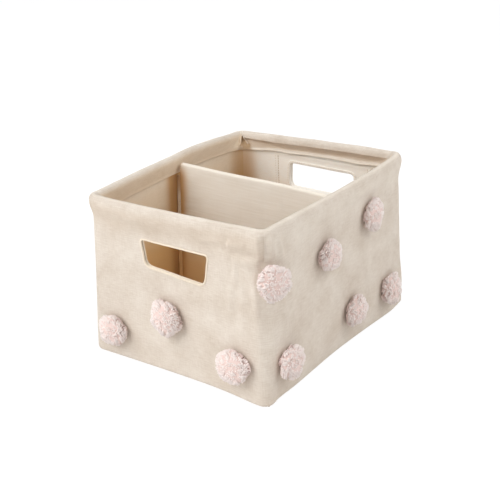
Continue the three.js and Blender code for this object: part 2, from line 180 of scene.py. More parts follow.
drawn_in = ring_curve(DRAWN_IN_SEEN, 16.0)


def settle(wall, along, z):
    """How far the wall is pushed out or drawn in, and how far its rim has risen."""
    ring = wall["middle"] + along
    push = base_push(ring) * (1 - smooth(z, 0, 110))
    return push - drawn_in(ring), rim_rise(ring) * smooth(z, 146, 171)


print("the rim's rise at each wall's middle:",
      {name: round(float(rim_rise(wall["middle"])), 1) for name, wall in WALLS.items()}, "mm")

# %% [markdown]
# A place on a wall is a share of its flat stretch, from -1 to 1, and past that a turn round the corner.
# The corner seam lies half-way round, at a turn of 45 degrees. Inside the caddy the cloth doesn't follow
# the corner: it has some slack and cuts across on a rounder line, and most of all beside the open tuck.

# %% From a place on a wall to a point
CORNER_SLACK = 20.0
TUCK_PULL, TUCK_SPAN = 3.4, 18.0
BACK_LEFT = WALLS["back"]["middle"] + END_RUN / 2


def wall_point(wall, share, turn, inset, z, setback=0.0, slack=0.0):
    """A point of a wall. With `slack` the cloth cuts across the corner on a rounder line."""
    half_along, half_out = halves(wall, z)
    radius = corner_radius(z) + slack
    flat = half_along - radius
    bow = (END_BOW if wall["end"] else SIDE_BOW) * spread(z) * (1 - share ** 2)
    end = np.sign(share)
    nominal = share * (wall["run"] / 2 - CORNER_RADIUS) + end * CORNER_RADIUS * turn / (math.pi / 4)
    push, rise = settle(wall, nominal, z)
    from_tuck = wall["middle"] + nominal - BACK_LEFT
    pulled_in = slack / CORNER_SLACK * TUCK_PULL * bell(from_tuck, TUCK_SPAN)
    turned = radius - inset + push - pulled_in
    along = share * flat + end * (turned * np.sin(turn) - setback * np.cos(turn))
    out = half_out - radius - bow + turned * np.cos(turn) + setback * np.sin(turn)
    along, out, height = np.broadcast_arrays(along, out, z + rise)
    (ax, ay), (ox, oy) = wall["along"], wall["out"]
    return np.stack([along * ax + out * ox, along * ay + out * oy, height], -1)


def stations(wall, step, corner_steps=6, seam=True, past=0):
    """Places along a wall: shares, turns, setbacks and the distance along the cloth."""
    flat = 2 * flat_half(wall, HEIGHT / 2)
    share = np.linspace(-1, 1, int(round(flat / step)) + 1)
    turn = np.zeros(len(share))
    if seam:
        count = corner_steps + past
        turns = np.arange(1, count + 1) * math.pi / 4 / corner_steps
        share = np.concatenate([-np.ones(count), share, np.ones(count)])
        turn = np.concatenate([turns[::-1], turn, turns])
    setback = np.where(np.abs(turn - math.pi / 4) < 1e-6, SEAM_GAP / 2, 0.0)
    return share, turn, setback, share * flat / 2 + np.sign(share) * CORNER_RADIUS * turn


print("corner of the front wall at the floor:", wall_point(WALLS["front"], 1.0, 0.0, 0.0, 0.0).round(1))

# %% [markdown]
# Cloth is never quite even. Soft noise gives that: random values on a lattice, blended smoothly between
# its points. It is worked out in space, so it runs on without a break from one panel to the next, and its
# random numbers come from a fixed seed, so the caddy is the same every time.

# %% Soft noise in space
LATTICE = 32


def soft_noise(points, cell, seed):
    """Values from -1 to 1 that change softly over about a `cell` of millimetres."""
    lattice = np.random.default_rng(seed).uniform(-1, 1, (LATTICE, LATTICE, LATTICE))
    q = points / np.asarray(cell, float) + 1000.0
    low = np.floor(q).astype(int)
    t = q - low
    t = t * t * (3 - 2 * t)
    total = 0.0
    for dx in (0, 1):
        for dy in (0, 1):
            for dz in (0, 1):
                weight = (np.where(dx, t[..., 0], 1 - t[..., 0]) * np.where(dy, t[..., 1], 1 - t[..., 1])
                          * np.where(dz, t[..., 2], 1 - t[..., 2]))
                x, y, z = np.moveaxis((low + [dx, dy, dz]) % LATTICE, -1, 0)
                total = total + weight * lattice[x, y, z]
    return total


print("noise at the middle:", float(soft_noise(np.zeros(3), 10, 1)))

# %% [markdown]
# A piece of cloth is a grid of points on its middle surface. It gets real thickness by moving the grid
# half a thickness to each side and closing the edges, which Blender's Solidify could do too, but doing it
# here keeps the cloth coordinates: how far each point lies along and up the cloth. The weave follows those.

# %% Making meshes
def add_object(name, points, faces, cloth=None, period=None, crease=55.0, marks=None):
    """A smooth-shaded object in metres. `cloth` gives each point its place on the flat cloth."""
    mesh = bpy.data.meshes.new(name)
    mesh.from_pydata((np.asarray(points) * MM).tolist(), [], [list(map(int, f)) for f in faces])
    mesh.polygons.foreach_set("use_smooth", np.ones(len(mesh.polygons), bool))
    mesh.set_sharp_from_angle(angle=math.radians(crease))
    if cloth is not None:
        corner = np.empty(len(mesh.loops), np.int32)
        mesh.loops.foreach_get("vertex_index", corner)
        place = cloth[corner].reshape(-1, 2)
        if period:
            quads = place.reshape(-1, 4, 2)
            quads[..., 0] -= period * np.round((quads[..., 0] - quads[:, :1, 0]) / period)
        layer = mesh.uv_layers.new(name="Cloth")
        layer.data.foreach_set("uv", (place * MM + 2.0).ravel())
    for key, values in (marks or {}).items():
        mesh.attributes.new(key, "FLOAT", "POINT").data.foreach_set("value", values.astype(np.float32))
    piece = bpy.data.objects.new(name, mesh)
    bpy.context.scene.collection.objects.link(piece)
    return piece


def grid_normals(grid, closed=False):
    """The direction in which the cloth faces at each point of its grid."""
    along = (np.roll(grid, -1, 0) - np.roll(grid, 1, 0)) if closed else np.gradient(grid, axis=0)
    return unit(np.cross(along, np.gradient(grid, axis=1)))


def add_cloth(name, middle, thickness, cloth, keep=None, closed=False, crease=55.0, marks=None,
              normals=None):
    """A cloth with two sides and closed edges. Cells that `keep` says no to are left out."""
    rows, columns = middle.shape[:2]
    count = rows * columns
    normals = grid_normals(middle, closed) if normals is None else normals
    lift = normals * (np.asarray(thickness)[..., None] / 2)
    points = np.concatenate([(middle + lift).reshape(-1, 3), (middle - lift).reshape(-1, 3)])
    index = np.arange(count).reshape(rows, columns)
    index = np.vstack([index, index[:1]]) if closed else index
    corners = np.stack([index[:-1, :-1], index[1:, :-1], index[1:, 1:], index[:-1, 1:]], -1)
    top = corners.reshape(-1, 4) if keep is None else corners[keep]
    edges = np.concatenate([top[:, [0, 1]], top[:, [1, 2]], top[:, [2, 3]], top[:, [3, 0]]])
    outer = edges[~np.isin(edges[:, 0] * count + edges[:, 1], edges[:, 1] * count + edges[:, 0])]
    sides = np.stack([outer[:, 1], outer[:, 0], outer[:, 0] + count, outer[:, 1] + count], 1)
    faces = np.concatenate([top, top[:, ::-1] + count, sides])
    used, faces = np.unique(faces, return_inverse=True)
    place = np.concatenate([cloth.reshape(-1, 2)] * 2)[used]
    period = np.ptp(cloth[:, 0, 0]) * rows / (rows - 1) if closed else None
    marks = {key: np.concatenate([m.ravel()] * 2)[used] for key, m in (marks or {}).items()}
    return add_object(name, points[used], faces.reshape(-1, 4), place, period, crease, marks)


print("helpers for cloth are ready")

# %% [markdown]
# A handle opening is a wide four-sided hole with rounded corners. Cut by hand, the two aren't quite alike:
# the front one is narrower below and drops a little to the right. To cut a grid without a Boolean, the
# grid points nearest to the outline are moved onto it and the cells inside are left out. The weave stays
# undisturbed and the edge is clean. The same trick cuts the floor pieces.

# %% Outlines and how to cut to them
HANDLES = {
    "front": [(42.4, 141.3, 3.5), (-39.8, 141.7, 3.5), (-35.2, 114.9, 6.0), (37.9, 109.2, 9.0)],
    "back": [(34.5, 144.6, 4.0), (-49.3, 144.0, 4.0), (-49.6, 115.4, 9.0), (36.0, 116.0, 9.0)],
}
HOLE_GROW, BOARD_HOLE_GROW = 1.1, 4.6
SNAP_SHARE = 0.52


def handle_loop(wall_name, grow=0.0, round_steps=8, step=2.0):
    """The edge of an opening, or a line that lies `grow` outside it, as distances along and heights."""
    corners = HANDLES[wall_name]
    line = []
    for i, (x, z, radius) in enumerate(corners):
        here = np.array([x, z])
        start, end = (here + radius * unit(np.array(corners[(i + k) % 4][:2]) - here) for k in (-1, 1))
        t = np.linspace(0, 1, round_steps + 1)[:, None]
        line.append((1 - t) ** 2 * start + 2 * t * (1 - t) * here + t ** 2 * end)
    loop = np.concatenate(line)
    closed = np.vstack([loop, loop[:1]])
    lengths = run_along(closed)
    places = np.linspace(0, lengths[-1], int(lengths[-1] / step) + 1)[:-1]
    loop = np.stack([np.interp(places, lengths, closed[:, k]) for k in (0, 1)], 1)
    way = unit(np.roll(loop, -1, 0) - np.roll(loop, 1, 0))
    return loop + grow * np.stack([way[:, 1], -way[:, 0]], 1)


def outline_gap(outline, points):
    """How far points lie outside an outline, negative inside, and the nearest place on it."""
    a, b = outline, np.roll(outline, -1, 0)
    flat = points.reshape(-1, 1, 2)
    t = np.clip(((flat - a) * (b - a)).sum(-1) / ((b - a) ** 2).sum(-1), 0, 1)
    near = a + t[..., None] * (b - a)
    gap = np.linalg.norm(flat - near, axis=-1)
    best = gap.argmin(1)
    crossing = ((a[:, 1] > flat[..., 1]) != (b[:, 1] > flat[..., 1]))
    slope = (b[:, 0] - a[:, 0]) / np.where(b[:, 1] == a[:, 1], 1e-9, b[:, 1] - a[:, 1])
    inside = (crossing & (flat[..., 0] < a[:, 0] + (flat[..., 1] - a[:, 1]) * slope)).sum(1) % 2 == 1
    rows = np.arange(len(best))
    signed = np.where(inside, -1, 1) * gap[rows, best]
    return signed.reshape(points.shape[:-1]), near[rows, best].reshape(points.shape)


def snap_to(outline, plan, reach):
    """A flat grid with its points near an outline moved onto it, and which cells lie outside it."""
    gap, near = outline_gap(outline, plan)
    plan = np.where((np.abs(gap) < reach)[..., None], near, plan)
    centre = (plan[:-1, :-1] + plan[1:, :-1] + plan[1:, 1:] + plan[:-1, 1:]) / 4
    return plan, outline_gap(outline, centre)[0] > 0


print("front opening:", len(handle_loop("front")), "points")

# %% [markdown]
# ## The outer canvas
# Each panel is one strip of canvas. It starts under the bottom, turns up round the base edge, climbs the
# wall, leans out over the wire, rolls over it and ends inside as the cuff. That whole path is one line,
# and sweeping it along the wall gives the panel. On the real caddy the four panels meet in the corners.

# %% The line a panel follows
def arc(inset, z, radius, start, end, steps):
    """Points on a circle round a place in a wall's section, from one angle to another."""
    angle = np.radians(np.linspace(start, end, steps + 1))
    return np.stack([inset + radius * np.cos(angle), z + radius * np.sin(angle)], 1)


def outer_line():
    """The panel's middle line from under the bottom to the end of the roll, as insets and heights."""
    half = CANVAS / 2
    flare_z = ROLL_Z - FLARE_DROP
    t = np.linspace(0, 1, 11)[1:]
    edge = arc(EDGE_RADIUS, EDGE_RADIUS, EDGE_RADIUS - half, -90, -180, 6)
    climb = np.linspace(EDGE_RADIUS, flare_z, 74)[1:]
    return np.concatenate([
        [[EDGE_RADIUS + LIP, half], [EDGE_RADIUS + LIP / 2, half]], edge,
        np.stack([np.full(len(climb), half), climb], 1),
        np.stack([half - RIM_OVERHANG * smooth(t, 0, 1), flare_z + FLARE_DROP * t], 1),
        arc(ROLL_INSET, ROLL_Z, ROLL_RADIUS - half, 180, 0, 16)[1:]])


OUTER_LINE = outer_line()
OUTER_RUN = run_along(OUTER_LINE)
CUFF_STEPS, CUFF_RUN = 26, 16.0
ROLL_TOP, ROLL_END = OUTER_RUN[np.argmax(OUTER_LINE[:, 1])], OUTER_RUN[-1]
PANEL_RUN = np.concatenate([OUTER_RUN, ROLL_END + CUFF_RUN * np.linspace(0, 1, CUFF_STEPS + 1)[1:]])
HEM = PANEL_RUN[-1]
print("a panel is cut", round(HEM), "mm high")

# %% [markdown]
# Inside, the cloth goes under the roll, back against the wall, and ends in a hemmed edge. On the long walls
# and in front it lies flat. On the back wall it hangs free between the corners: the hem stands off like a
# bead, with a dark line below it, and to the left the hollow under the roll becomes a slanting fold.

# %% How the cuff hangs
CUFF_EDGES = {
    "front": [(-100, 156.5), (0, 157.5), (100, 156.5)],
    "right": [(-120, 156), (-40, 157.5), (50, 156.5), (120, 158)],
    "back": [(-92, 160.4), (-74, 158.8), (-33, 159.6), (17, 159.6), (27, 159.0), (48, 158.4),
             (58, 159.2), (80, 158.6), (93, 157.2), (106, 156.4)],
    "left": [(-124, 157.0), (-112, 157.2), (-85, 157.8), (-40, 158.0), (20, 158.0), (110, 157.0)],
}
BACK_HOLLOW = [(-100, 165.2), (-30, 164.6), (17, 163.8), (42, 163.4), (60, 164.2), (72, 166.8),
               (94, 168.8)]
FREE_DEPTH = 4.2


def cuff_line(wall_name, along):
    """The cuff below the roll at each place along a wall: how deep and how high the cloth lies."""
    edge = np.interp(along, *np.array(CUFF_EDGES[wall_name]).T)[:, None]
    t = np.linspace(0, 1, CUFF_STEPS + 1)[1:]
    z = ROLL_Z - t * (ROLL_Z - edge)
    start = ROLL_INSET + ROLL_RADIUS - CANVAS / 2
    flat = CUFF_INSET + CANVAS / 2 + 0.15
    if wall_name != "back":
        return np.broadcast_to(start + (flat - start) * t ** 1.3, z.shape), z
    hollow = np.interp(along, *np.array(BACK_HOLLOW).T)[:, None]
    down = np.clip((ROLL_Z - z) / (ROLL_Z - hollow), 0, 1)
    free = smooth(END_RUN / 2 - np.abs(along), 2, 12)[:, None]
    behind = FREE_DEPTH * free + flat * (1 - free)
    inset = start + 0.8 * np.sin(math.pi * np.minimum(down * 2.2, 1)) + (behind - start) * down ** 1.5
    swing = free * (1 + 0.2 * np.sin(along / 21.0)[:, None])
    bead = 0.5 * smooth(hollow - z, 1, 6) + 2.4 * smooth(edge + 1.7 - z, -0.8, 0.8)
    return inset + swing * bead, z


def hem_thickness(run, along, wall_name):
    """The cloth is folded over at its free edge, so it is thicker there."""
    plump = 0.4 + 0.9 * smooth(END_RUN / 2 - np.abs(along), 1, 9) * (wall_name == "back")
    return CANVAS + plump * smooth(run, HEM - 2.4, HEM - 1.4)


print("cuff of the back wall:", len(CUFF_EDGES["back"]), "heights along its hem")

# %% [markdown]
# The wall canvas is pulled over a board, so it can only stand away from it, never sink in. It has broad
# shallow waves, narrow upright streaks where the cloth is drawn to the corners, and small gathers under
# the roll. The near corner shows a few soft folds where the two panels pull against each other.

# %% Waves, gathers and folds of the canvas
FOLDS = {
    "front": [
        (70, 158, 100, 160, 9.0, 1.3), (72, 161, 88, 165, 4.0, 1.3), (68, 154, 69, 166, 2.4, -1.2),
        (76, 152, 98, 153.0, 3.0, -0.8), (84, 144, 100, 146, 5.0, 1.2), (92, 146, 93, 130, 4.5, 1.2),
        (102, 174, 105, 152, 2.2, 1.1), (107, 174, 110, 160, 2.6, -0.7), (110, 158, 106, 144, 2.4, -0.6),
        (108, 100, 108, 55, 4.0, -0.6), (78, 148, 76, 120, 3.0, 0.9), (72, 126, 70, 92, 4.0, 0.8),
        (86, 118, 84, 76, 4.0, 0.9), (99, 132, 100, 96, 3.5, 0.9), (-100, 150, -94, 96, 6.0, 0.5),
        (-60, 162, -20, 164, 4.0, 0.5), (40, 158, 62, 163, 3.5, 0.8)],
    "right": [
        (-134, 172, -131, 156, 2.8, -0.8), (-134, 100, -134, 55, 4.0, -0.6), (-127, 170, -124, 152, 3.0, 0.8),
        (-118, 168, -110, 148, 3.0, 1.2), (-116, 146, -100, 138, 3.5, 1.2), (-104, 158, -84, 152, 4.0, 1.0),
        (-112, 120, -108, 66, 3.5, 1.1), (-98, 128, -92, 70, 5.0, 0.8), (-60, 164, -20, 161, 4.0, 0.6),
        (30, 163, 70, 161, 4.5, 0.6), (108, 150, 112, 90, 6.0, 0.6)],
    "back": [(88, 152, 72, 138, 5.0, 0.7), (-70, 160, -30, 163, 5.0, 0.5)],
    "left": [(-118, 150, -104, 136, 5.0, 0.7), (10, 162, 60, 160, 5.0, 0.5)],
}
FOLD_DEPTH = 1.35


def fold_relief(wall_name, along, level):
    """Each fold is a rounded ridge from one place to another, so wide and so high, or a crease."""
    total = 0.0
    for x0, z0, x1, z1, width, height in FOLDS[wall_name]:
        start, way = np.array([x0, z0], float), np.array([x1 - x0, z1 - z0], float)
        place = np.stack([along, level], -1) - start
        t = np.clip((place @ way) / (way @ way), 0, 1)
        total = total + height * bell(np.linalg.norm(place - t[..., None] * way, axis=-1), width)
    return FOLD_DEPTH * total


def canvas_relief(wall_name, points, along, run, calm):
    """How far the canvas stands out. `calm` is low near a handle opening, where the cloth is held."""
    level, past_top = points[..., 2], run - ROLL_TOP
    to_seam = WALLS[wall_name]["run"] / 2 - np.abs(along)
    on_wall = smooth(run, 14, 40) * (1 - smooth(past_top, -12, -4))
    broad = 0.75 * (1 + soft_noise(points, (40, 40, 34), 3))
    broad = broad + 0.42 * (1 + soft_noise(points, (16, 16, 20), 4))
    streaks = 0.34 * (1 + soft_noise(points, (9, 9, 70), 5)) * (0.5 + smooth(60 - to_seam, 0, 50))
    gathers = 0.30 * (1 + soft_noise(points, (8, 8, 30), 8)) * bell(level - 160, 8)
    waves = (broad + streaks + gathers) * (1 - 0.75 * bell(to_seam, 9.0))
    rolled = smooth(past_top, -16, -8) * (1 - smooth(run, ROLL_END, ROLL_END + 8))
    puffs = 0.30 * soft_noise(points, (19, 19, 14), 11) + 0.12 * soft_noise(points, (7, 7, 9), 12)
    return (waves + fold_relief(wall_name, along, level)) * on_wall * calm + puffs * rolled


print("folds drawn by hand:", sum(len(f) for f in FOLDS.values()))

# %% [markdown]
# At the back left corner the cuffs of two walls don't meet: the real one has an open tuck there, narrow at
# the rim and wider below, with the cloth ends folded back beside it. So the cloth is pressed into a narrow
# valley there that widens downwards, its two lips stand up a little, and two notches cross the rim.

# %% The open tuck
TUCK_ENDS = {"back": 1, "left": -1}
TUCK_SHIFT, TUCK_INSET, TUCK_TOP_HALF, TUCK_WIDENS = 1.2, 2.9, 0.2, 2.1


def open_tuck(wall_name, along, run, hem):
    """The tuck's effect on the cloth beside it: relief, pale wear with painted highlights, painted shade, and
    where it takes away the painted glow.
    """
    end, past_top = TUCK_ENDS[wall_name], run - ROLL_TOP
    stretch = 1 + 1.5 * smooth(run, ROLL_TOP + 3, HEM - 2)
    beside = (WALLS[wall_name]["run"] / 2 - TUCK_INSET - end * along) * stretch - TUCK_SHIFT * end
    lip = beside - TUCK_TOP_HALF - TUCK_WIDENS * np.clip((past_top - 5.5) / 11.0, 0, 1)
    opened = window(past_top, 4.5, 7.5, 16, 19)
    pinch = window(past_top, -4, -1, 4, 7)
    notch = pinch * bell(beside - 2.4, 0.7)
    gap = opened * (1 - smooth(lip, -1.2, 0.3))
    lips = opened * bell(lip - 1.1, 0.8)
    from_tuck = np.maximum(beside, 0)
    foot = smooth(past_top, 15, 18) * bell(from_tuck, 6.0, 4)
    sunk = 2.6 - 1.2 * smooth(past_top, 7, 12)
    relief = 0.9 * lips - 1.7 * notch - sunk * gap - 0.6 * opened * bell(lip - 3.6, 1.2) - 0.2 * foot
    # Painted highlights on the lips and at the pinch; the hem's paleness fades near the tuck.
    worn = 0.8 * lips + 0.5 * pinch * bell(beside, 1.6) - hem * bell(from_tuck, 9.0, 4)
    # Painted shade in the valley, the notches and the foot of the tuck.
    painted_shade = 1.2 * gap + 0.7 * notch + foot + 0.3 * opened * bell(lip - 4, 3)
    return relief, worn, painted_shade, np.clip(gap + foot, 0, 1)


print("the tuck is", round(2 * (TUCK_TOP_HALF + TUCK_WIDENS), 1), "mm wide at its foot")

# %% [markdown]
# Each panel's grid runs on a little past the corner seam while its normals are worked out, so that two
# panels meet there without a visible edge. Three marks are painted on it: pale wear with painted
# highlights, painted shade where the cloth lies deep, and a painted warm glow on the inside cuff. The
# finish reads them.

# %% Build the four panels
HANDLE_ZONE = (100, 155)
PANEL_STEP, PANEL_SNAP, PANEL_CORNER_STEPS = 2.0, 1.05, 22


def panel_grid(wall_name):
    """The panel before its relief: its points, which cells to keep, its cloth coordinates and its calm."""
    wall = WALLS[wall_name]
    share, turn, setback, along = stations(wall, PANEL_STEP, PANEL_CORNER_STEPS, past=1)
    cuff_inset, cuff_z = cuff_line(wall_name, along)
    outer = np.broadcast_to(OUTER_LINE[None], (len(share), *OUTER_LINE.shape))
    inset = np.concatenate([outer[..., 0], cuff_inset], 1)
    z = np.concatenate([outer[..., 1], cuff_z], 1)
    run = np.broadcast_to(PANEL_RUN, z.shape)
    shares, alongs = (np.repeat(values[:, None], z.shape[1], 1) for values in (share, along))
    keep = np.ones((z.shape[0] - 1, z.shape[1] - 1), bool)
    calm = np.ones(z.shape)
    slack = CORNER_SLACK * smooth(run, ROLL_TOP + 3, HEM - 2)
    if wall["end"]:
        flat = flat_half(wall, z) - slack
        hole = handle_loop(wall_name, HOLE_GROW)
        plan, outside = snap_to(hole, np.stack([shares * flat, z], -1), PANEL_SNAP)
        to_edge = outline_gap(handle_loop(wall_name), plan)[0]
        calm = np.where(run < ROLL_TOP, smooth(to_edge, 3.5, 18), 1.0)
        moved = (z > HANDLE_ZONE[0]) & (z < HANDLE_ZONE[1]) & (run < ROLL_TOP - 10)
        shares = np.where(moved, plan[..., 0] / flat, shares)
        z = np.where(moved, plan[..., 1], z)
        keep &= outside | ~moved[1:, 1:]
    points = wall_point(wall, shares, turn[:, None], inset, z, setback[:, None], slack)
    return points, keep, alongs, run, calm


def panel_marks(wall_name, run, hem):
    """Pale wear with painted highlights, painted shade and a painted glow along the cloth's line."""
    past_top = run - ROLL_TOP
    under_roll, under_rim = smooth(past_top, 2, 9), window(past_top, -44, -22, -14, -5)
    # The roll's crest and the hem are paler: partly wear, partly a painted highlight.
    worn = 0.6 * bell(past_top + 1.0, 2.0) + hem
    if wall_name == "back":
        # The back cuff gets painted shade under the roll and in the hollow above its hem.
        in_hollow = window(run, ROLL_END - 1, ROLL_END + 6, HEM - 5.5, HEM - 2.5)
        return worn, 0.12 * under_roll + 0.42 * in_hollow, 0 * run
    # A painted highlight lightens the right wall under its rim.
    worn = worn + 0.25 * under_rim * (wall_name == "right")
    # The front gets painted shade under its rim, and the other cuffs a painted warm glow under the roll.
    return worn, 0.26 * under_rim * (wall_name == "front"), 0.38 * under_roll


def panel(wall_name):
    """One wall's canvas: its grid, then its relief, its marks of wear and painted light and shade, and its
    mesh.
    """
    points, keep, along, run, calm = panel_grid(wall_name)
    relief = canvas_relief(wall_name, points, along, run, calm)
    hem = bell(run - HEM, 2.5)
    worn, painted_shade, nook = panel_marks(wall_name, run, hem)
    if wall_name in TUCK_ENDS:
        tuck_relief, tuck_wear_and_highlight, tuck_painted_shade, in_tuck = open_tuck(wall_name, along, run, hem)
        relief, worn = relief + tuck_relief, worn + tuck_wear_and_highlight
        # The tuck adds painted shade and takes away the painted glow.
        painted_shade, nook = np.clip(painted_shade + tuck_painted_shade, 0, 1.25), nook * (1 - in_tuck)
    points = points + grid_normals(points) * relief[..., None]
    normals = grid_normals(points)
    cloth = np.stack([WALLS[wall_name]["middle"] + along, run], -1)
    body = slice(1, -1)
    thickness = hem_thickness(run[body], along[body], wall_name)
    return add_cloth(f"{wall_name}_canvas", points[body], thickness, cloth[body], keep[body],
                     marks={"Worn": np.clip(worn, 0, 1)[body], "Deep": painted_shade[body], "Nook": nook[body]},
                     normals=normals[body])


PANELS = {name: panel(name) for name in WALLS}
print({name: len(p.data.vertices) for name, p in PANELS.items()})

# %% [markdown]
# ## Boards and wire
# Stiff card stands in each wall and lies in the base, and a steel wire runs in the roll. They hardly show,
# but they are what keeps the cloth in shape, so they follow the same settled walls as the cloth does. One
# function builds boards, linings and patches, because all are sheets between two heights of a wall.

# %% Boards in the walls and the base
PATCH_HEM = 0.5


def wall_sheet(name, wall_name, inset, thickness, bottom, top, step, seam, relief=None, span=None,
               marks=None, hole_grow=HOLE_GROW):
    """A sheet between two heights of a wall, from seam to seam, or over a hemmed `span` of it."""
    wall = WALLS[wall_name]
    share, turn, setback, along = stations(wall, step, seam=seam, past=int(seam))
    if span:
        flat = flat_half(wall, 130.0)
        share = np.linspace(*span, int((span[1] - span[0]) / step) + 1) / flat
        turn, setback, along = 0 * share, 0 * share, share * flat
    level = np.linspace(bottom, top, int((top - bottom) / step) + 1)
    shares, alongs = (np.repeat(values[:, None], len(level), 1) for values in (share, along))
    z = np.repeat(level[None], len(share), 0)
    keep = np.ones((len(share) - 1, len(level) - 1), bool)
    slack = CORNER_SLACK * (1 - smooth(z, 157, 168)) if seam else 0.0
    if wall["end"]:
        flat = flat_half(wall, z) - slack
        hole = handle_loop(wall_name, hole_grow)
        plan, keep = snap_to(hole, np.stack([shares * flat, z], -1), step * SNAP_SHARE)
        shares, z = plan[..., 0] / flat, plan[..., 1]
    hem = np.zeros(shares.shape)
    if span:
        to_side = np.minimum(alongs - span[0], span[1] - alongs)
        hem = PATCH_HEM * (1 - smooth(np.minimum(to_side, np.minimum(z - bottom, top - z)), 2.5, 5.0))
    depth = inset + (thickness + hem) / 2
    points = wall_point(wall, shares, turn[:, None], depth, z, setback[:, None], slack)
    if relief is not None:
        points = points - grid_normals(points) * relief(points, z)[..., None]
    normals = grid_normals(points)
    cloth = np.stack([wall["middle"] + alongs, z], -1)
    body = slice(1, -1) if seam else slice(None)
    return add_cloth(name, points[body], (thickness + hem)[body], cloth[body], keep[body],
                     marks={key: mark(points)[body] for key, mark in (marks or {}).items()},
                     normals=normals[body])


def ring_path(inset, z, step):
    """A closed line round the caddy inside its outer face."""
    rings = []
    for wall in WALLS.values():
        share, turn, _, _ = stations(wall, step, 4)
        rings.append(wall_point(wall, share, turn, inset, np.full(len(share), z))[1:])
    return np.concatenate(rings)


def base_sheet(name, inset, bottom, thickness, step, waves=0.0):
    """A flat sheet inside the walls at a height, with soft waves if it lies loose."""
    outline = ring_path(inset, bottom, 6.0)[:, :2]
    (x0, y0), (x1, y1) = outline.min(0) - step, outline.max(0) + step
    xs, ys = np.arange(x0, x1 + step, step), np.arange(y0, y1 + step, step)
    plan, outside = snap_to(outline, np.stack(np.meshgrid(xs, ys, indexing="ij"), -1), step * SNAP_SHARE)
    level = np.full(plan.shape[:2], bottom + thickness / 2)
    points = np.concatenate([plan, level[..., None]], -1)
    points[..., 2] += waves * (1 + soft_noise(points, (34, 34, 34), 21)) / 2
    return add_cloth(name, points, np.full(plan.shape[:2], thickness), plan, ~outside)


BOARDS = {f"{name}_board": wall_sheet(f"{name}_board", name, BOARD_INSET, SIDE_BOARD, EDGE_RADIUS,
                                      WIRE_Z - WIRE / 2 - LAYER_GAP, 4.0, False, hole_grow=BOARD_HOLE_GROW)
          for name in WALLS}
BOARDS["bottom_board"] = base_sheet("bottom_board", EDGE_RADIUS, CANVAS + LAYER_GAP, BASE_BOARD, 6.0)
print("boards:", list(BOARDS))

# %% [markdown]
# A tube along a path serves the wire, the stitches and the yarn alike: a ring of points at each step,
# carried along the path. Many tubes are built at once, because a pompom has hundreds of strands.

# %% Tubes along paths
def tubes(paths, radii, sides, closed=False):
    """Points and faces of many tubes. `paths` is (tube, step, 3) and `radii` (tube, step)."""
    count, steps = paths.shape[:2]
    if closed:
        way = unit(np.roll(paths, -1, 1) - np.roll(paths, 1, 1))
        aside = np.broadcast_to([0.0, 0.0, 1.0], way.shape)
    else:
        way = unit(np.gradient(paths, axis=1))
        mean = way.mean(1, keepdims=True)
        aside = np.cross(mean, np.where(np.abs(mean[..., 2:]) < 0.8, [0.0, 0.0, 1.0], [1.0, 0.0, 0.0]))
    first = unit(np.cross(way, aside))
    second = np.cross(way, first)
    angle = np.linspace(0, 2 * math.pi, sides, endpoint=False)
    ring = first[:, :, None] * np.cos(angle)[:, None] + second[:, :, None] * np.sin(angle)[:, None]
    points = paths[:, :, None] + ring * radii[:, :, None, None]
    index = np.arange(count * steps * sides).reshape(count, steps, sides)
    here, there = (index, np.roll(index, -1, 1)) if closed else (index[:, :-1], index[:, 1:])
    quads = np.stack([here, np.roll(here, -1, 2), np.roll(there, -1, 2), there], -1).reshape(-1, 4)
    faces = quads.tolist()
    if not closed:
        faces += index[:, 0, ::-1].tolist() + index[:, -1].tolist()
    return points.reshape(-1, 3), faces


wire_path = ring_path(ROLL_INSET, WIRE_Z, 5.0)[None]
wire_points, wire_faces = tubes(wire_path, np.full(wire_path.shape[:2], WIRE / 2), 10, closed=True)
rim_wire = add_object("wire_ring", wire_points, wire_faces, crease=180)
print("wire ring:", len(wire_faces), "faces")

# %% [markdown]
# ## Lining, floor and bottom
# The lining is a thinner, warmer cloth. It lies flat against the boards, a little slack between its seams.
# Around each handle opening a second patch of the same cloth is sewn on, which shows as a double line of
# stitches inside the back wall. Two marks paint shade on the cloth: warmer and darker the further down in
# its compartment a place lies, and darker brown close to an upright corner or beside the divider.

# %% Lining of the walls and the floor
DIVIDER_Y = 5.0


def lining_relief(points, z):
    """The lining is a little slack between its seam at the floor and the handle opening."""
    return 0.6 * (1 + soft_noise(points, (40, 40, 30), 31)) * window(z, 6, 40, 84, 100)


def to_side_and_down(points):
    """How far a place lies from the nearest long wall and below the rim."""
    return RIM_WIDTH / 2 - 5 - np.abs(points[..., 0]), HEIGHT - points[..., 2]


def shade_by_depth(points, dim_from=45.0):
    """How much painted shade a place gets: more the further down in its compartment, a little more beside a
    long wall.
    """
    to_side, down = to_side_and_down(points)
    side = 0.25 * (1 - smooth(to_side, 2, 12)) * smooth(down, 10, 40)
    return np.clip(smooth(down, dim_from, dim_from + 67) + side, 0, 1.2)


def shade_in_nooks(points):
    """How much painted shade a place gets close to an upright corner of its compartment or beside the
    divider.
    """
    to_side, down = to_side_and_down(points)
    to_end = RIM_LENGTH / 2 - 5 - np.abs(points[..., 1])
    to_divider = np.abs(points[..., 1] - DIVIDER_Y) - 2
    corner = bell(np.maximum(to_side + to_end - 20, 0), 7) * smooth(down, 3, 18)
    beside_divider = bell(np.maximum(to_side + to_divider - 7, 0), 8) * smooth(down, 4, 24)
    return 1.2 * np.maximum(corner, beside_divider)


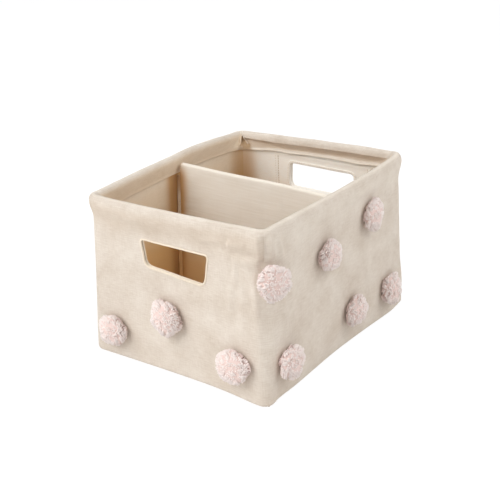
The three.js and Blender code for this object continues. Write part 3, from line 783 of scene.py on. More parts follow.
INSIDE_MARKS = {"Deep": shade_by_depth, "Nook": shade_in_nooks}
LININGS = {name: wall_sheet(f"{name}_inside", name, LINING_INSET, LINING, FLOOR_TOP + LAYER_GAP,
                            HEIGHT - LINING_TOP_DROP, 2.4, True, relief=lining_relief,
                            marks=INSIDE_MARKS) for name in WALLS}
floor_cloth = base_sheet("floor_cloth", LINING_INSET, FLOOR_Z, LINING, 3.5, waves=0.9)
bottom_cloth = base_sheet("bottom_canvas", EDGE_RADIUS + LIP + SEAM_GAP, 0.0, CANVAS, 3.5)
PATCHES = {"front": (-64.0, 67.0), "back": (-73.0, 57.0)}
PATCH_BOTTOM, PATCH_TOP = 99.5, 156.5
FACINGS = {name: wall_sheet(f"{name}_patch", name, FACING_INSET, LINING, PATCH_BOTTOM, PATCH_TOP, 1.5, False,
                            relief=lining_relief, span=span, marks=INSIDE_MARKS)
           for name, span in PATCHES.items()}
print("inside cloth:", list(LININGS), "patches:", list(FACINGS))

# %% [markdown]
# ## Binding
# A folded tape covers the raw edges of each handle opening. It is sewn down on both faces, and between
# them it is pushed back into the gap between canvas and lining. So its section is a flat flap, a round
# lip, a groove, a second lip and a flat flap inside. A few corner points, rounded off, give that line,
# and it is swept round the outline. The two bright lips are what stands out in the photograph. In front a
# mark paints shade into the groove between them, except along the foot of the opening.

# %% Bind the handle openings
def face_point(wall, x, inset, z):
    flat = flat_half(wall, z)
    return wall_point(wall, x / flat, 0.0 * x, inset, z)


def rounded_off(line, times):
    """Cut the corners of a line again and again until it is round."""
    for _ in range(times):
        near, far = line[:-1] * 0.75 + line[1:] * 0.25, line[:-1] * 0.25 + line[1:] * 0.75
        line = np.concatenate([line[:1], np.stack([near, far], 1).reshape(-1, 2), line[-1:]])
    return line


TAPE_INSIDE = FACING_INSET + LINING + LINING / 2 + 0.12
TAPE_LINE = rounded_off(np.array([
    (1.45, 0.0), (1.2, -0.35), (0.7, -0.5), (0.1, -0.3), (0.1, 0.85), (1.0, 1.2), (1.0, 2.4),
    (0.7, 3.1), (0.65, TAPE_INSIDE - 0.3), (1.6, TAPE_INSIDE), (3.2, TAPE_INSIDE),
    (3.7, TAPE_INSIDE - 0.4)]), 2)
TAPE_RUN = run_along(TAPE_LINE)
TAPE_LENGTHS = {}


def binding(wall_name):
    wall = WALLS[wall_name]
    loop = handle_loop(wall_name, step=1.0)
    outwards = handle_loop(wall_name, 1.0, step=1.0) - loop
    TAPE_LENGTHS[wall_name] = np.linalg.norm(np.diff(loop, axis=0, append=loop[:1]), axis=1).sum()
    around = np.linspace(0, TAPE_LENGTHS[wall_name], len(loop), endpoint=False)
    ripple = 0.06 * np.sin(around / 2.3) + 0.05 * np.sin(around / 5.9 + 1)
    grid = []
    for lap, inset in TAPE_LINE:
        at = loop + outwards * (lap + ripple * (lap < 2.5))[:, None]
        grid.append(face_point(wall, at[:, 0], inset, at[:, 1]))
    grid = np.stack(grid, 1)
    cloth = np.stack(np.broadcast_arrays(around[:, None], TAPE_RUN[None]), -1)
    # Painted shade in the groove between the lips, in front only.
    groove = window(TAPE_LINE[:, 1], 0.8, 1.3, 2.5, 3.1) * (wall_name == "front")
    marks = {"Deep": np.zeros(grid.shape[:2]), "Nook": groove * smooth(loop[:, 1], 114, 121)[:, None]}
    return add_cloth(f"{wall_name}_tape", grid, np.full(grid.shape[:2], LINING), cloth, closed=True,
                     crease=70, marks=marks)


BINDINGS = {name: binding(name) for name in ("front", "back")}
print("bindings:", {k: round(v) for k, v in TAPE_LENGTHS.items()}, "mm round, and the tape",
      round(TAPE_RUN[-1], 1), "mm wide")

# %% [markdown]
# ## Divider
# The divider is a board in a sleeve of the lining cloth, folded over the top and closed at both ends. It
# leans a little and has a soft twist. Two narrow webs of cloth sew its ends to the long walls. The board
# inside the sleeve doesn't show, so the CAD solid stays in its place there.

# %% The divider's sleeve and webs
DIVIDER_HALF, DIVIDER_TOP = 101.0, 170.0
DIVIDER_FLOOR = FLOOR_TOP + LAYER_GAP
END_ROUND, SLEEVE_HALF, CROWN_DROP = 5.0, 2.05, 2.55
RISE_STEPS, CROWN_STEPS, SLEEVE_RISE, CROWN_RUN = 78, 9, 160.0, 6.4
WEB_TOP, WEB_STEPS, WEB_THICKNESS = 155.0, 9, 1.0


def divider_middle(x, z):
    lean = 1.0 + 9.0 * z / DIVIDER_TOP * (DIVIDER_HALF - x) / (2 * DIVIDER_HALF)
    return lean + 0.7 * np.sin(x / 38.0 + 0.8) * smooth(z, 20, 160)


def divider_top(x):
    past = np.clip(np.abs(x) - (DIVIDER_HALF - END_ROUND), 0, END_ROUND - 0.1)
    return DIVIDER_TOP - (END_ROUND - np.sqrt(END_ROUND ** 2 - past ** 2)) + 0.35 * np.sin(x / 21.0)


def divider_sleeve():
    ends = 6 * (1 - np.geomspace(1, 0.02, 8))
    x = np.concatenate([-DIVIDER_HALF + ends, np.linspace(-94.9, 94.9, 96), DIVIDER_HALF - ends[::-1]])
    half = SLEEVE_HALF * smooth(DIVIDER_HALF + 0.1 - np.abs(x), -1.2, 3.4) + 0.1
    rise = np.linspace(0, 1, RISE_STEPS)
    turn = np.radians(np.linspace(180, 0, CROWN_STEPS + 2))[1:-1]
    side = np.concatenate([-np.ones(RISE_STEPS), np.cos(turn), np.ones(RISE_STEPS)])
    up = np.concatenate([rise, np.ones(CROWN_STEPS), rise[::-1]])
    crown = np.concatenate([np.zeros(RISE_STEPS), np.sin(turn), np.zeros(RISE_STEPS)])
    top = divider_top(x)[:, None] - CROWN_DROP
    z = DIVIDER_FLOOR + (top - DIVIDER_FLOOR) * up[None] + crown[None] * half[:, None]
    grid_x = np.repeat(x[:, None], len(up), 1)
    points = np.stack([grid_x, divider_middle(grid_x, z) + side[None] * half[:, None], z], -1)
    slack = 0.3 * (1 + soft_noise(points, (40, 6, 34), 41))
    slack = slack + 0.12 * (1 + soft_noise(points, (22, 6, 5), 43))
    nick = bell(grid_x - 34 - (152 - z) * 0.35, 1.6) * bell(z - 150, 5)
    puckers = 0.35 * np.sin(z / 1.9) * bell(grid_x + 92, 6) * bell(z - 118, 9)
    relief = slack * (1 - smooth(np.abs(grid_x), 90, 100)) - nick + puckers
    points = points + grid_normals(points) * (relief * (1 - crown))[..., None]
    over = SLEEVE_RISE + CROWN_RUN * (np.arange(CROWN_STEPS) + 1) / (CROWN_STEPS + 1)
    run = np.concatenate([rise * SLEEVE_RISE, over, SLEEVE_RISE + CROWN_RUN + rise * SLEEVE_RISE])
    cloth = np.stack([grid_x, np.broadcast_to(run, grid_x.shape)], -1)
    # The fold over the top gets a painted highlight, and the sleeve gets painted shade deep down and in
    # nooks.
    marks = {"Worn": np.broadcast_to(crown, grid_x.shape), "Deep": shade_by_depth(points, 62.0),
             "Nook": shade_in_nooks(points)}
    return add_cloth("divider_sleeve", points, np.full(points.shape[:2], CANVAS), cloth, marks=marks)


def divider_web(wall_name, side):
    wall = WALLS[wall_name]
    z = np.linspace(DIVIDER_FLOOR, WEB_TOP, 120)
    start = np.full(len(z), side * (DIVIDER_HALF - 0.4))
    middle = divider_middle(start, z)
    share = middle * wall["along"][1] / flat_half(wall, z)
    seam = wall_point(wall, share, 0.0 * z, LINING_INSET + LINING + 0.2, z)[:, 0]
    t = np.linspace(0, 1, WEB_STEPS)
    x = start[:, None] + (seam - start)[:, None] * t
    slack = 2.4 * smooth(150 - z, 6, 26) + 0.5 * np.sin(z / 7.0) + 0.35 * np.sin(z / 2.9 + 1)
    pull = -np.sin(math.pi * t)[None] * slack[:, None]
    level = np.repeat(z[:, None], WEB_STEPS, 1)
    points = np.stack([x, middle[:, None] + pull, level], -1)
    # Painted shade on the webs, less of it higher up, and more near their tops by the wall.
    marks = {"Deep": (0.9 - 0.4 * smooth(level, 75, 115)) * shade_by_depth(points),
             "Nook": 0.9 * smooth(level, 128, 150), "Worn": np.zeros(level.shape)}
    return add_cloth(f"web_{wall_name}", points, np.full(level.shape, WEB_THICKNESS),
                     np.stack([x, level], -1), marks=marks)


sleeve = divider_sleeve()
webs = {"left": divider_web("left", -1), "right": divider_web("right", 1)}
print("divider sleeve:", len(sleeve.data.vertices), "points")

# %% [markdown]
# ## Pompoms
# A pompom is a bundle of cut yarn tied in the middle. From outside it is hundreds of strand ends that
# fan out from that knot, in little tufts with darker gaps between. So each one is built strand by strand:
# tufts spread evenly over a flattened ball, eighteen strands to a tuft, thinner at the tip. A smooth ball
# inside them stands for the yarn that is packed too tightly to see through.

# %% Grow a pompom from strands
POMPOM_RADIUS, POMPOM_RISE = 19.0, 8.5
BALL = np.array([POMPOM_RADIUS, POMPOM_RADIUS, POMPOM_RISE])
STRAND_SIDES, KNOT_SIDES, KNOT_SHARE, KNOT_PAINTED_SHADE, KNOT_TONE = 4, 16, 0.85, 0.3, 0.5


def fan_directions(count, lowest, rng):
    """Directions spread evenly over the upper part of a ball, each nudged a little."""
    i = np.arange(count) + 0.5
    up = 1 - (1 - lowest) * i / count
    turn = i * math.pi * (3 - math.sqrt(5)) + rng.uniform(0, 6.28)
    flat = np.sqrt(1 - up ** 2)
    even = np.stack([flat * np.cos(turn), flat * np.sin(turn), up], 1)
    return unit(even + rng.normal(0, 0.07, (count, 3)))


def pompom_strands(size, seed, tufts=62, per_tuft=18):
    """The paths of the strands, how thick they are, their tone with painted shade, and how far out each step
    lies.
    """
    def each(values):
        return np.repeat(values, per_tuft, 0)

    rng = np.random.default_rng(seed)
    centre = np.array([0, 0, POMPOM_RISE * size])
    tuft = fan_directions(tufts, -0.72, rng)
    way = unit(each(tuft) + rng.normal(0, 0.095, (tufts * per_tuft, 3)))
    round_about = np.arctan2(way[:, 1], way[:, 0])
    lobes = sum(0.045 * np.sin(k * round_about + rng.uniform(0, 6.28)) for k in (2, 3, 5))
    lobes = 1 + lobes * (1 - way[:, 2] ** 2)
    long = lobes * each(rng.normal(0.985, 0.036, tufts)) * rng.normal(0.985, 0.014, len(way))
    tip = centre + way * (BALL * size) * np.clip(long, 0.84, 1.07)[:, None]
    root = centre * [1, 1, 0.8] + way * (BALL * size) * 0.3
    tip[:, 2] = np.maximum(tip[:, 2], 1.0)
    bend = (root + tip) / 2 + rng.normal(0, 0.7, tip.shape) + each(rng.normal(0, 0.7, (tufts, 3)))
    t = np.linspace(0, 1, 6)
    at = t[None, :, None]
    paths = (1 - at) ** 2 * root[:, None] + 2 * at * (1 - at) * bend[:, None] + at ** 2 * tip[:, None]
    thick = np.interp(t, [0, 0.45, 0.8, 1], [0.6, 0.95, 0.95, 0.55])
    radii = thick[None] * rng.uniform(0.85, 1.15, (len(way), 1)) * size
    tone = each(rng.uniform(0, 1, tufts)) * 0.6 + rng.uniform(0, 1, len(way)) * 0.4
    # The middle of the face is darker and pinker; strands that lie low against the cloth get painted shade.
    core = bell(1 - way[:, 2], 0.16) * each(rng.uniform(0.2, 1, tufts))
    low = smooth(-way[:, 2], -0.25, 0.4)
    return paths, radii, tone * (1 - low) - 0.9 * np.maximum(core, low), t


def pompom_knot(size, first):
    """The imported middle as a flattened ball, with its points numbered from `first`."""
    turn = np.linspace(0, 2 * math.pi, KNOT_SIDES + 1)[:-1]
    tilt = np.radians(np.linspace(-62, 90, 11))[:, None]
    knot = np.stack([np.cos(tilt) * np.cos(turn), np.cos(tilt) * np.sin(turn), np.sin(tilt) + 0 * turn], -1)
    knot = knot * BALL * size * KNOT_SHARE + [0, 0, POMPOM_RISE * size]
    index = np.arange(len(tilt) * KNOT_SIDES).reshape(-1, KNOT_SIDES) + first
    beside = np.roll(index, -1, 1)
    faces = np.stack([index[:-1], beside[:-1], beside[1:], index[1:]], -1).reshape(-1, 4).tolist()
    return knot.reshape(-1, 3), faces + [index[0, ::-1].tolist(), index[-1].tolist()]


def pompom(name, wall, along, height, size, tall, seed):
    paths, radii, tone, t = pompom_strands(size, seed)
    points, faces = tubes(paths, radii, STRAND_SIDES)
    knot, knot_faces = pompom_knot(size, len(points))
    # How far out along its strand a point lies, which sets its painted shade.
    depth = np.tile(np.repeat(t, STRAND_SIDES), len(paths))
    tones_and_shade = np.repeat(tone, len(t) * STRAND_SIDES)
    # The knot takes a middling painted shade and tone.
    marks = {"Depth": np.concatenate([depth, np.full(len(knot), KNOT_PAINTED_SHADE)]),
             "Tone": np.concatenate([tones_and_shade, np.full(len(knot), KNOT_TONE)])}
    points = place_on_wall(np.concatenate([points, knot]) * [1, tall, 1], wall, along, height)
    return add_object(name, points, faces + knot_faces, crease=180, marks=marks)


print("a pompom is", 2 * POMPOM_RADIUS, "mm across and stands", 2 * POMPOM_RISE, "mm high")

# %% [markdown]
# A pompom sits square on the cloth, also where the wall turns at a corner. Its place is a distance along
# the wall and a height, and the wall's own function gives the point and the direction there. Each was
# trimmed by hand, so each has a size of its own and is a little lower or taller than it is wide.

# %% Sew the pompoms on
def place_on_wall(points, wall, along, height):
    """Turn points of a pompom that stands on a table into points on the wall."""
    flat = flat_half(wall, height)
    past = max(0.0, abs(along) - flat)

    def at(step_along, step_up):
        share = np.sign(along) if past else (along + step_along) / flat
        turn = (past + np.sign(along) * step_along) / corner_radius(height) if past else 0.0
        return wall_point(wall, np.float64(share), turn, -LAYER_GAP, height + step_up)

    side = unit(at(0.3, 0) - at(-0.3, 0))
    out = unit(np.cross(side, at(0, 0.3) - at(0, -0.3)))
    return at(0, 0) + points @ np.stack([side, np.cross(out, side), out])


# where along the wall and how high, both as shares, then how wide and how tall for its width
END_PLACES = [(-0.705, 0.195, 0.96, 1.0), (-0.05, 0.38, 1.05, 1.0), (0.71, 0.216, 1.1, 0.87)]
SIDE_PLACES = [(-0.93, 0.724, 1.0, 0.97), (-0.81, 0.214, 1.02, 0.89), (-0.235, 0.677, 0.98, 0.91),
               (0.405, 0.753, 0.92, 1.03), (0.125, 0.222, 0.97, 0.9), (0.66, 0.2, 0.92, 1.1)]
POMPOMS = {}
for w, (wall_name, wall) in enumerate(WALLS.items()):
    half = (RIM_WIDTH if wall["end"] else RIM_LENGTH) / 2
    for i, (along, up, size, tall) in enumerate(END_PLACES if wall["end"] else SIDE_PLACES):
        number = f"{wall_name}_{i + 1}"
        POMPOMS[number] = pompom(f"yarn_{number}", wall, along * half, up * HEIGHT, size, tall, 100 * w + i)
print("pompoms:", len(POMPOMS), "with", len(next(iter(POMPOMS.values())).data.polygons), "faces each")

# %% [markdown]
# ## Stitches
# Thread holds the handle patches and the inner flap of each binding. Each stitch is a short plump capsule
# half sunk in the cloth, a bit over two millimetres long. Real stitches as small meshes catch the light
# properly up close.

# %% Sew the seams
STITCH_RADII, STITCH_SIDES = [0.12, 0.3, 0.34, 0.3, 0.12], 6
ON_PATCH, ON_TAPE = FACING_INSET + LINING + 0.12, TAPE_INSIDE + LINING / 2


def stitch_paths(line, outwards, length=2.3, pitch=3.0):
    """Short arched paths along a line of points, lifted along `outwards`."""
    run = run_along(line)
    starts = np.arange(0.4, run[-1] - length, pitch)
    t = np.linspace(0, 1, len(STITCH_RADII))
    places = starts[:, None] + t[None] * length
    at = np.stack([np.interp(places, run, line[:, k]) for k in range(3)], -1)
    return at + np.array(outwards) * (0.32 * np.sin(math.pi * t) - 0.12)[None, :, None]


def sew(name, wall_name, lines, inset):
    """Sew along lines on a wall's inner face, each given by its distances along and heights."""
    wall, paths = WALLS[wall_name], []
    inwards = [-part for part in (*wall["out"], 0.0)]
    for x, z in lines:
        paths.append(stitch_paths(face_point(wall, x, inset, z), inwards))
    paths = np.concatenate(paths)
    points, faces = tubes(paths, np.broadcast_to(STITCH_RADII, paths.shape[:2]), STITCH_SIDES)
    return add_object(name, points, faces, crease=180)


def patch_seams(wall_name):
    """Two lines of stitches up each side of a patch and one along its foot."""
    start, end = PATCHES[wall_name]
    z = np.linspace(PATCH_BOTTOM + 1.4, PATCH_TOP - 1.2, 40)
    x = np.linspace(start + 1.4, end - 1.4, 80)
    uprights = [(np.full(40, at), z) for at in (start + 1.5, start + 5.2, end - 5.2, end - 1.5)]
    return uprights + [(x, np.full(80, PATCH_BOTTOM + 1.6))]


def tape_seams(wall_name):
    loop = handle_loop(wall_name, 3.0)
    return [np.vstack([loop, loop[:1]]).T]


STITCHES = {name: sew(f"{name}_stitches", name, patch_seams(name), ON_PATCH) for name in PATCHES}
TAPE_STITCHES = {name: sew(f"{name}_tape_stitches", name, tape_seams(name), ON_TAPE) for name in PATCHES}
POINTS_PER_STITCH = len(STITCH_RADII) * STITCH_SIDES
print("stitches:", {k: len(v.data.vertices) // POINTS_PER_STITCH for k, v in STITCHES.items()})

# %% [markdown]
# ## Materials
# Shader maths reads best as plain expressions. The small class below wraps one output of a tree's nodes,
# and adding or multiplying such values adds the Math nodes that do it. A second class builds a whole tree,
# for a material or for the studio's world: one method makes any node from its type, its settings and what
# goes into its sockets, and the others make the few kinds that are used most.

# %% A small language for shaders
class Value:
    """One output of a tree's nodes."""

    def __init__(self, finish, socket):
        self.finish, self.socket = finish, socket

    def output(self, key):
        return Value(self.finish, self.socket.node.outputs[key])

    def __add__(self, other):
        return self.finish.maths("ADD", self, other)

    def __sub__(self, other):
        return self.finish.maths("SUBTRACT", self, other)

    def __rsub__(self, other):
        return self.finish.maths("SUBTRACT", other, self)

    def __mul__(self, other):
        return self.finish.maths("MULTIPLY", self, other)


class Finish:
    """The node tree of a material or a world, built node by node."""

    def __init__(self, owner):
        self.owner = owner
        owner.use_nodes = True
        self.tree = owner.node_tree
        self.tree.nodes.clear()

    def node(self, kind, settings=None, sockets=None, output=0):
        node = self.tree.nodes.new("ShaderNode" + kind)
        for key, setting in (settings or {}).items():
            if key == "stops":
                for place, colour in setting[1:-1]:
                    node.color_ramp.elements.new(place).color = colour
                ramp = node.color_ramp.elements
                ramp[0].position, ramp[0].color = setting[0]
                ramp[-1].position, ramp[-1].color = setting[-1]
            else:
                setattr(node, key, setting)
        for key, value in (sockets or {}).items():
            if isinstance(value, Value):
                self.tree.links.new(value.socket, node.inputs[key])
            else:
                node.inputs[key].default_value = value
        return Value(self, node.outputs[output])

    def maths(self, operation, *values):
        return self.node("Math", {"operation": operation}, dict(enumerate(values)))

    def limited(self, value):
        return self.maths("MINIMUM", self.maths("MAXIMUM", value, 0.0), 1.0)

    def mix(self, mask, a, b):
        return self.node("Mix", {"data_type": "RGBA"}, {0: mask, 6: a, 7: b}, 2)

    def mark(self, name):
        return self.node("Attribute", {"attribute_name": name}, None, 2)

    def noise(self, place, scale, detail):
        return self.node("TexNoise", {"noise_dimensions": "3D"},
                         {"Vector": place, "Scale": scale, "Detail": detail})

    def spot(self, x, y, z):
        return self.node("CombineXYZ", None, {0: x, 1: y, 2: z})

    def in_object(self):
        return self.node("TexCoord", None, None, "Object")

    def surface(self, sockets, bump, distance, height):
        """The material of a surface with these sockets and a fine relief."""
        normal = self.node("Bump", None, {"Strength": bump, "Distance": distance, "Height": height})
        return self.done(self.node("BsdfPrincipled", None, {**sockets, "Normal": normal}))

    def done(self, shader, kind="OutputMaterial"):
        out = self.tree.nodes.new("ShaderNode" + kind)
        self.tree.links.new(shader.socket, out.inputs["Surface"])
        return self.owner


def paint(red, green, blue):
    """A colour as a screen shows it, turned into the light that Blender works with."""
    return (*(((c / 255 + 0.055) / 1.055) ** 2.4 for c in (red, green, blue)), 1.0)


print("cream:", [round(c, 3) for c in paint(233, 221, 207)])

# %% [markdown]
# ### Woven cloth
# Canvas is a plain weave: each thread goes over one and under the next. Its threads aren't even, so thick
# places, called slubs, run along them as short streaks. The weave is drawn from the cloth coordinates, so
# it lies straight on the cloth and bends with it. Only the fine slubs and a slow mottle carry colour. Then
# the marks on the mesh tint it: paler for wear and painted highlights, then painted shade inside the
# caddy, and a second painted tint: shade in nooks and grooves, a warm glow on the canvas cuff.

# %% Plain weave with slubs
# Painted colours: the warm, cuff, nook and groove shades are painted shade, the cuff glow is a painted warm
# glow, and the bright cream is for wear and painted highlights.
WARM_SHADE, CUFF_SHADE, WEAR_AND_HIGHLIGHT_CREAM = paint(242, 202, 144), paint(188, 158, 124), paint(250, 241, 227)
NOOK_SHADE, CUFF_GLOW, GROOVE_SHADE = paint(206, 163, 110), paint(246, 211, 157), paint(150, 134, 118)
MOTTLE_SCALE, WEAR_AND_HIGHLIGHT_SHARE, SHADE_SHARE = 34.0, 0.7, 0.8


def woven(name, light, dark, pitch, slub, mottle, bump, sheen, worn=False, deep=WARM_SHADE,
          nook=NOOK_SHADE, slub_size=(120.0, 900.0), across_share=0.6):
    """A cloth from `light` to `dark`. `pitch` is the width of a thread in metres."""
    f = Finish(bpy.data.materials.new(name))
    u = f.node("SeparateXYZ", None, {0: f.node("UVMap", {"uv_map": "Cloth"})})
    v = u.output(1)
    a, b = u * (1 / pitch), v * (1 / pitch)
    across = f.maths("SINE", f.maths("FRACT", a) * math.pi)
    upward = f.maths("SINE", f.maths("FRACT", b) * math.pi)
    over = f.maths("FLOORED_MODULO", f.maths("FLOOR", a) + f.maths("FLOOR", b), 2.0)
    warp = across * (upward * 0.45 + 0.55)
    weft = upward * (across * 0.45 + 0.55)
    weave = over * warp + (1 - over) * weft

    def streaks(fine, long, seed):
        return f.noise(f.spot(u * fine, v * long, seed), 1.0, 2.0)

    slubs = streaks(*slub_size, 1.0) * across_share + streaks(*slub_size[::-1], 7.0) * (1 - across_share)
    slow = f.noise(f.spot(u * MOTTLE_SCALE, v * MOTTLE_SCALE, 3.0), 1.0, 4.0)
    tone = (slubs - 0.5) * slub + (slow - 0.5) * mottle + (weave - 0.6) * 0.10 + 0.38
    colour = f.mix(f.limited(tone), light, dark)
    # Paler for wear and painted highlights, then painted shade, then the second painted tint.
    if worn:
        colour = f.mix(f.mark("Worn") * WEAR_AND_HIGHLIGHT_SHARE, colour, WEAR_AND_HIGHLIGHT_CREAM)
    colour = f.mix(f.mark("Deep") * SHADE_SHARE, colour, deep)
    colour = f.mix(f.mark("Nook") * SHADE_SHARE, colour, nook)
    return f.surface({"Base Color": colour, "Roughness": slubs * 0.12 + 0.84, "Specular IOR Level": 0.25,
                      "Sheen Weight": sheen, "Sheen Roughness": 0.6},
                     bump, 0.0004, weave * 0.55 + slubs * 0.9)


canvas_finish = woven("Cream canvas", paint(234, 224, 212), paint(206, 190, 173), pitch=0.0011, slub=1.5,
                      mottle=1.3, bump=0.75, sheen=0.12, worn=True, deep=CUFF_SHADE, nook=CUFF_GLOW)
LINING_WEAVE = {"pitch": 0.0010, "slub": 1.1, "mottle": 0.5, "bump": 0.55, "sheen": 0.10}
lining_finish = woven("Warm lining", paint(240, 229, 213), paint(214, 198, 176), **LINING_WEAVE)
# A paler copy of the lining, painted lit, for the back wall, its patch and its binding.
lit_lining_finish = woven("Lit lining", paint(255, 254, 249), paint(248, 238, 224), **LINING_WEAVE)
sleeve_finish = woven("Divider cloth", paint(241, 236, 227), paint(219, 208, 192), pitch=0.0012, slub=0.75,
                      mottle=0.45, bump=0.5, sheen=0.10, worn=True, slub_size=(30.0, 500.0),
                      across_share=0.85)
tape_finish = woven("Binding tape", paint(246, 234, 216), paint(226, 210, 188), pitch=0.0007, slub=0.6,
                    mottle=0.3, bump=0.4, sheen=0.12, nook=GROOVE_SHADE)
CLOTHS = (canvas_finish, lining_finish, lit_lining_finish, sleeve_finish, tape_finish)
print("woven finishes:", [m.name for m in CLOTHS])

# %% [markdown]
# ### Yarn, thread, card and wire
# Yarn is pale blush at the tips, with painted shade down between the strands. The strands carry a depth,
# which sets that painted shade, and a tone: partly random, darker toward the middle of the face, and with
# painted shade on strands lying low against the cloth. Those drive the colour. Card gets flecks, thread
# gets fine fibres, and the wire a brushed grain.

# %% The other finishes
def yarn():
    f = Finish(bpy.data.materials.new("Blush yarn"))
    tone = f.mark("Tone")
    # The ramp paints shade: darker toward the root of each strand.
    shade = f.node("ValToRGB", {"stops": [(0.1, paint(212, 174, 165)), (0.55, paint(240, 217, 210)),
                                          (0.92, paint(251, 239, 235))]}, {0: f.mark("Depth")})
    pale = f.maths("MAXIMUM", tone, 0.0)
    colour = f.mix(pale * 0.5, shade, paint(253, 246, 243))
    # Low tones are darker: some tufts, the middle of the face, and the painted shade on low-lying strands.
    colour = f.mix(f.limited(tone * -1.0) * 0.36, colour, paint(210, 162, 152))
    fibre = f.noise(f.in_object(), 2600.0, 2.0)
    colour = f.mix(fibre * 0.2, colour, paint(238, 216, 206))
    return f.surface({"Base Color": colour, "Roughness": fibre * 0.2 + 0.78, "Specular IOR Level": 0.2,
                      "Sheen Weight": 0.35, "Sheen Roughness": 0.5}, 0.35, 0.0003, fibre)


def grained(name, light, dark, scale, roughness, bump=0.3, stretch=(1, 1, 1), metallic=0.0):
    """A plain surface with a grain of `scale`, finer along an axis that `stretch` says more for."""
    f = Finish(bpy.data.materials.new(name))
    grain = f.noise(f.node("Mapping", None, {0: f.in_object(), "Scale": stretch}), scale, 5.0)
    return f.surface({"Base Color": f.mix(grain, light, dark), "Roughness": grain * 0.2 + roughness,
                      "Metallic": metallic}, bump, 0.0002, grain)


yarn_finish = yarn()
thread_finish = grained("Cotton thread", paint(214, 194, 166), paint(178, 154, 124), 1500.0, 0.7)
pale_thread = grained("Pale thread", paint(244, 232, 214), paint(222, 206, 184), 1500.0, 0.7)
card_finish = grained("Grey card", paint(190, 166, 132), paint(150, 124, 92), 260.0, 0.8)
wire_finish = grained("Brushed wire", paint(200, 204, 208), paint(150, 154, 160), 420.0, 0.3, bump=0.15,
                      stretch=(1, 1, 14), metallic=1.0)
OTHERS = (yarn_finish, thread_finish, pale_thread, card_finish, wire_finish)
print("other finishes:", [m.name for m in OTHERS])

# %% [markdown]
# ## Put the pieces on the frame
# Each piece rides on the caddy's one body, stands for its CAD node, and takes its finish.

# %% Ride, replace and finish
HANDLE_CUT, PATCH_FLAT, LINING_LENGTH, TAPE_WIDTH = 0.0026, (0.131, 0.057), 0.16, 0.012
PANEL_EASE, LINING_EASE = 6.0, 10.0


def dress(piece, material, slot, *nodes, **sheet):
    """`sheet` says how a cloth was cut and is held; it is not used."""
    piece.data.materials.append(material)
    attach(piece, "root")
    if nodes:
        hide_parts(*nodes)


def cut(name, ease, length):
    """How large a wall's cloth was cut, and its area without the handle opening."""
    width = (WALLS[name]["run"] - ease) * MM
    return {"flat": (width, length), "area": width * length - HANDLE_CUT * WALLS[name]["end"]}


# The back wall's lining and patch take the copy of the lining painted lit.
INSIDE_FINISH = {name: lit_lining_finish if name == "back" else lining_finish for name in WALLS}
for name, piece in PANELS.items():
    dress(piece, canvas_finish, "canvas", f"{name}_panel", held="folded",
          rests_on=[BOARDS[f"{name}_board"], rim_wire], **cut(name, PANEL_EASE, HEM * MM))
for name, piece in LININGS.items():
    dress(piece, INSIDE_FINISH[name], "lining", f"{name}_lining", held="stretched",
          rests_on=[BOARDS[f"{name}_board"]], **cut(name, LINING_EASE, LINING_LENGTH))
for name, piece in FACINGS.items():
    dress(piece, INSIDE_FINISH[name], "lining", f"{name}_handle_facing", flat=PATCH_FLAT, held="stretched",
          rests_on=[LININGS[name]], area=PATCH_FLAT[0] * PATCH_FLAT[1] - HANDLE_CUT)
# The back binding also takes the copy of the lining painted lit.
for name, piece in BINDINGS.items():
    dress(piece, lit_lining_finish if name == "back" else tape_finish, "binding", f"{name}_handle_binding",
          flat=(TAPE_WIDTH, TAPE_LENGTHS[name] * MM), held="folded", rests_on=[PANELS[name], FACINGS[name]])
for name, piece in STITCHES.items():
    dress(piece, thread_finish, "binding")
    dress(TAPE_STITCHES[name], pale_thread, "binding")
print("walls dressed")

# %% [markdown]
# The cloths at the bottom, the divider and the small pieces follow in the same way. The divider's board
# can't be seen in its sleeve, so no piece is built for it. The CAD solid stays, in the finish of card.

# %% The rest of the pieces
on_base_board = [BOARDS["bottom_board"]]
dress(bottom_cloth, canvas_finish, "canvas", "bottom_panel", flat=(0.209, 0.258), held="stretched",
      rests_on=on_base_board)
dress(floor_cloth, lining_finish, "lining", "floor_lining", flat=(0.222, 0.271), held="laid",
      rests_on=on_base_board)
dress(sleeve, sleeve_finish, "lining", "divider_cover", flat=(0.202, 0.333), held="folded",
      rests_on=["divider_board"])
for side, web in webs.items():
    dress(web, sleeve_finish, "lining", f"divider_web_{side}")
for name in WALLS:
    dress(BOARDS[f"{name}_board"], card_finish, "board", f"{name}_stiffener")
dress(BOARDS["bottom_board"], card_finish, "board", "base_board")
dress(rim_wire, wire_finish, "wire", "rim_wire")
for number, piece in POMPOMS.items():
    dress(piece, yarn_finish, "yarn", f"pompom_{number}")
divider_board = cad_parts["divider_board"]
for slot in divider_board.material_slots:
    slot.material = card_finish
if not divider_board.material_slots:
    divider_board.data.materials.append(card_finish)

# %% [markdown]
# ## Camera
# The camera stands where the photographer stood: to the right of the handle face, about a metre away and
# a little above, with a long lens. Its place comes from matching the caddy's known edges to the picture.

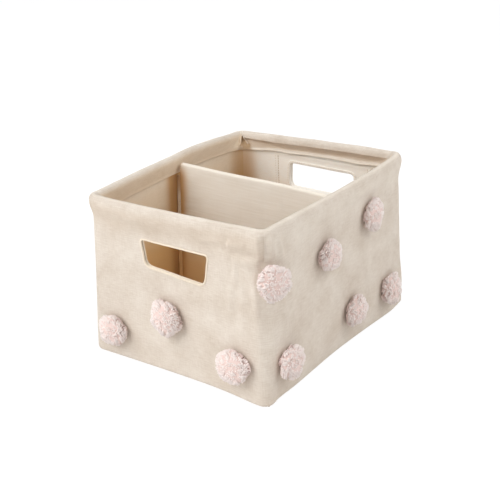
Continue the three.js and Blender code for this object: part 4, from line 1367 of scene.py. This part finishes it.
# %% Place the camera
AZIMUTH, ELEVATION, ROLL = (math.radians(turn) for turn in (35.46, 22.79, -1.95))
LOOKED_AT, DISTANCE = Vector((-0.00336, -0.00036, 0.089)), 1.2166
FOCAL_PIXELS, PICTURE_PIXELS, SENSOR = 1122.4, 500, 36
back = Vector((math.sin(AZIMUTH) * math.cos(ELEVATION), -math.cos(AZIMUTH) * math.cos(ELEVATION),
               math.sin(ELEVATION)))
right = Vector((math.cos(AZIMUTH), math.sin(AZIMUTH), 0))
up = back.cross(right)
turned_right = math.cos(ROLL) * right + math.sin(ROLL) * up
turned_up = math.cos(ROLL) * up - math.sin(ROLL) * right
camera = bpy.data.objects.new("camera", bpy.data.cameras.new("camera"))
camera.data.lens, camera.data.sensor_width = FOCAL_PIXELS / PICTURE_PIXELS * SENSOR, SENSOR
camera.matrix_world = Matrix((turned_right, turned_up, back)).transposed().to_4x4()
camera.location = LOOKED_AT + DISTANCE * back
bpy.context.scene.collection.objects.link(camera)
bpy.context.scene.camera = camera
print("camera at", [round(c, 3) for c in camera.location])

# %% [markdown]
# ## Light
# The photograph is lit softly from all round, with a little more light from the upper left. Four large
# lamps and an even sky stand for that. A camera ray sees the sky as plain white, so that the background
# is clean.

# %% Soft studio light
LAMP_DISTANCE, LAMP_SIZE, LAMP_WATTS, LAMP_AIM = 2.4, 1.9, 56.8, Vector((0, 0, 0.09))
LAMPS = {
    "key_lamp": ((-0.35, -0.60, 0.72), 0.475), "front_lamp": ((-0.22, -0.85, 0.50), 0.345),
    "right_lamp": ((0.85, 0.05, 0.48), 0.085), "back_right_lamp": ((0.65, 0.35, 0.67), 0.45),
}
WORLD_COLOUR, WORLD_STRENGTH, WHITE = (1.0, 0.99, 0.975, 1), 0.325, (1, 1, 1, 1)
for name, (towards, share) in LAMPS.items():
    lamp = bpy.data.lights.new(name, "AREA")
    lamp.shape, lamp.size, lamp.energy = "SQUARE", LAMP_SIZE, LAMP_WATTS * share
    holder = bpy.data.objects.new(name, lamp)
    aim = Vector(towards).normalized()
    holder.location = aim * LAMP_DISTANCE + LAMP_AIM
    holder.rotation_euler = aim.to_track_quat("Z", "Y").to_euler()
    bpy.context.scene.collection.objects.link(holder)
studio = Finish(bpy.data.worlds.new("studio"))
camera_ray = studio.node("LightPath")
seen = studio.maths("MAXIMUM", camera_ray, camera_ray.output("Is Transmission Ray"))
lit = studio.node("Background", None, {"Color": WORLD_COLOUR, "Strength": WORLD_STRENGTH})
white = studio.node("Background", None, {"Color": WHITE, "Strength": 1.0})
sky = studio.node("MixShader", None, {0: seen, 1: lit, 2: white})
bpy.context.scene.world = studio.done(sky, "OutputWorld")
bpy.context.scene.view_settings.view_transform = "Standard"

# %% [markdown]
# The floor is a white sheet that runs on past the picture. A camera ray sees it almost fully white, but a
# part of its real shading stays, which keeps the soft shadow under the caddy.

# %% The floor
FLOOR_HALF, FLOOR_LEVEL, FLOOR_GLOW, GLOW_SHARE = 3000.0, -0.05, 1.12, 0.82


def floor_finish():
    f = Finish(bpy.data.materials.new("White floor"))
    camera_ray = f.node("LightPath")
    glossy, clear = (camera_ray.output(key) for key in ("Is Glossy Ray", "Is Transmission Ray"))
    seen = f.maths("MAXIMUM", f.maths("MAXIMUM", camera_ray, glossy), clear)
    speck = f.noise(f.in_object(), 40.0, 3.0)
    matt = f.node("BsdfDiffuse", None, {"Color": f.mix(speck, paint(244, 243, 241), paint(248, 247, 246))})
    glow = f.node("Emission", None, {"Color": WHITE, "Strength": FLOOR_GLOW})
    return f.done(f.node("MixShader", None, {0: seen * GLOW_SHARE, 1: matt, 2: glow}))


corners = [(x * FLOOR_HALF, y * FLOOR_HALF, FLOOR_LEVEL) for x, y in ((-1, -1), (1, -1), (1, 1), (-1, 1))]
floor = add_object("studio_floor", corners, [(0, 1, 2, 3)], crease=180)
floor.data.materials.append(floor_finish())
print("floor laid")
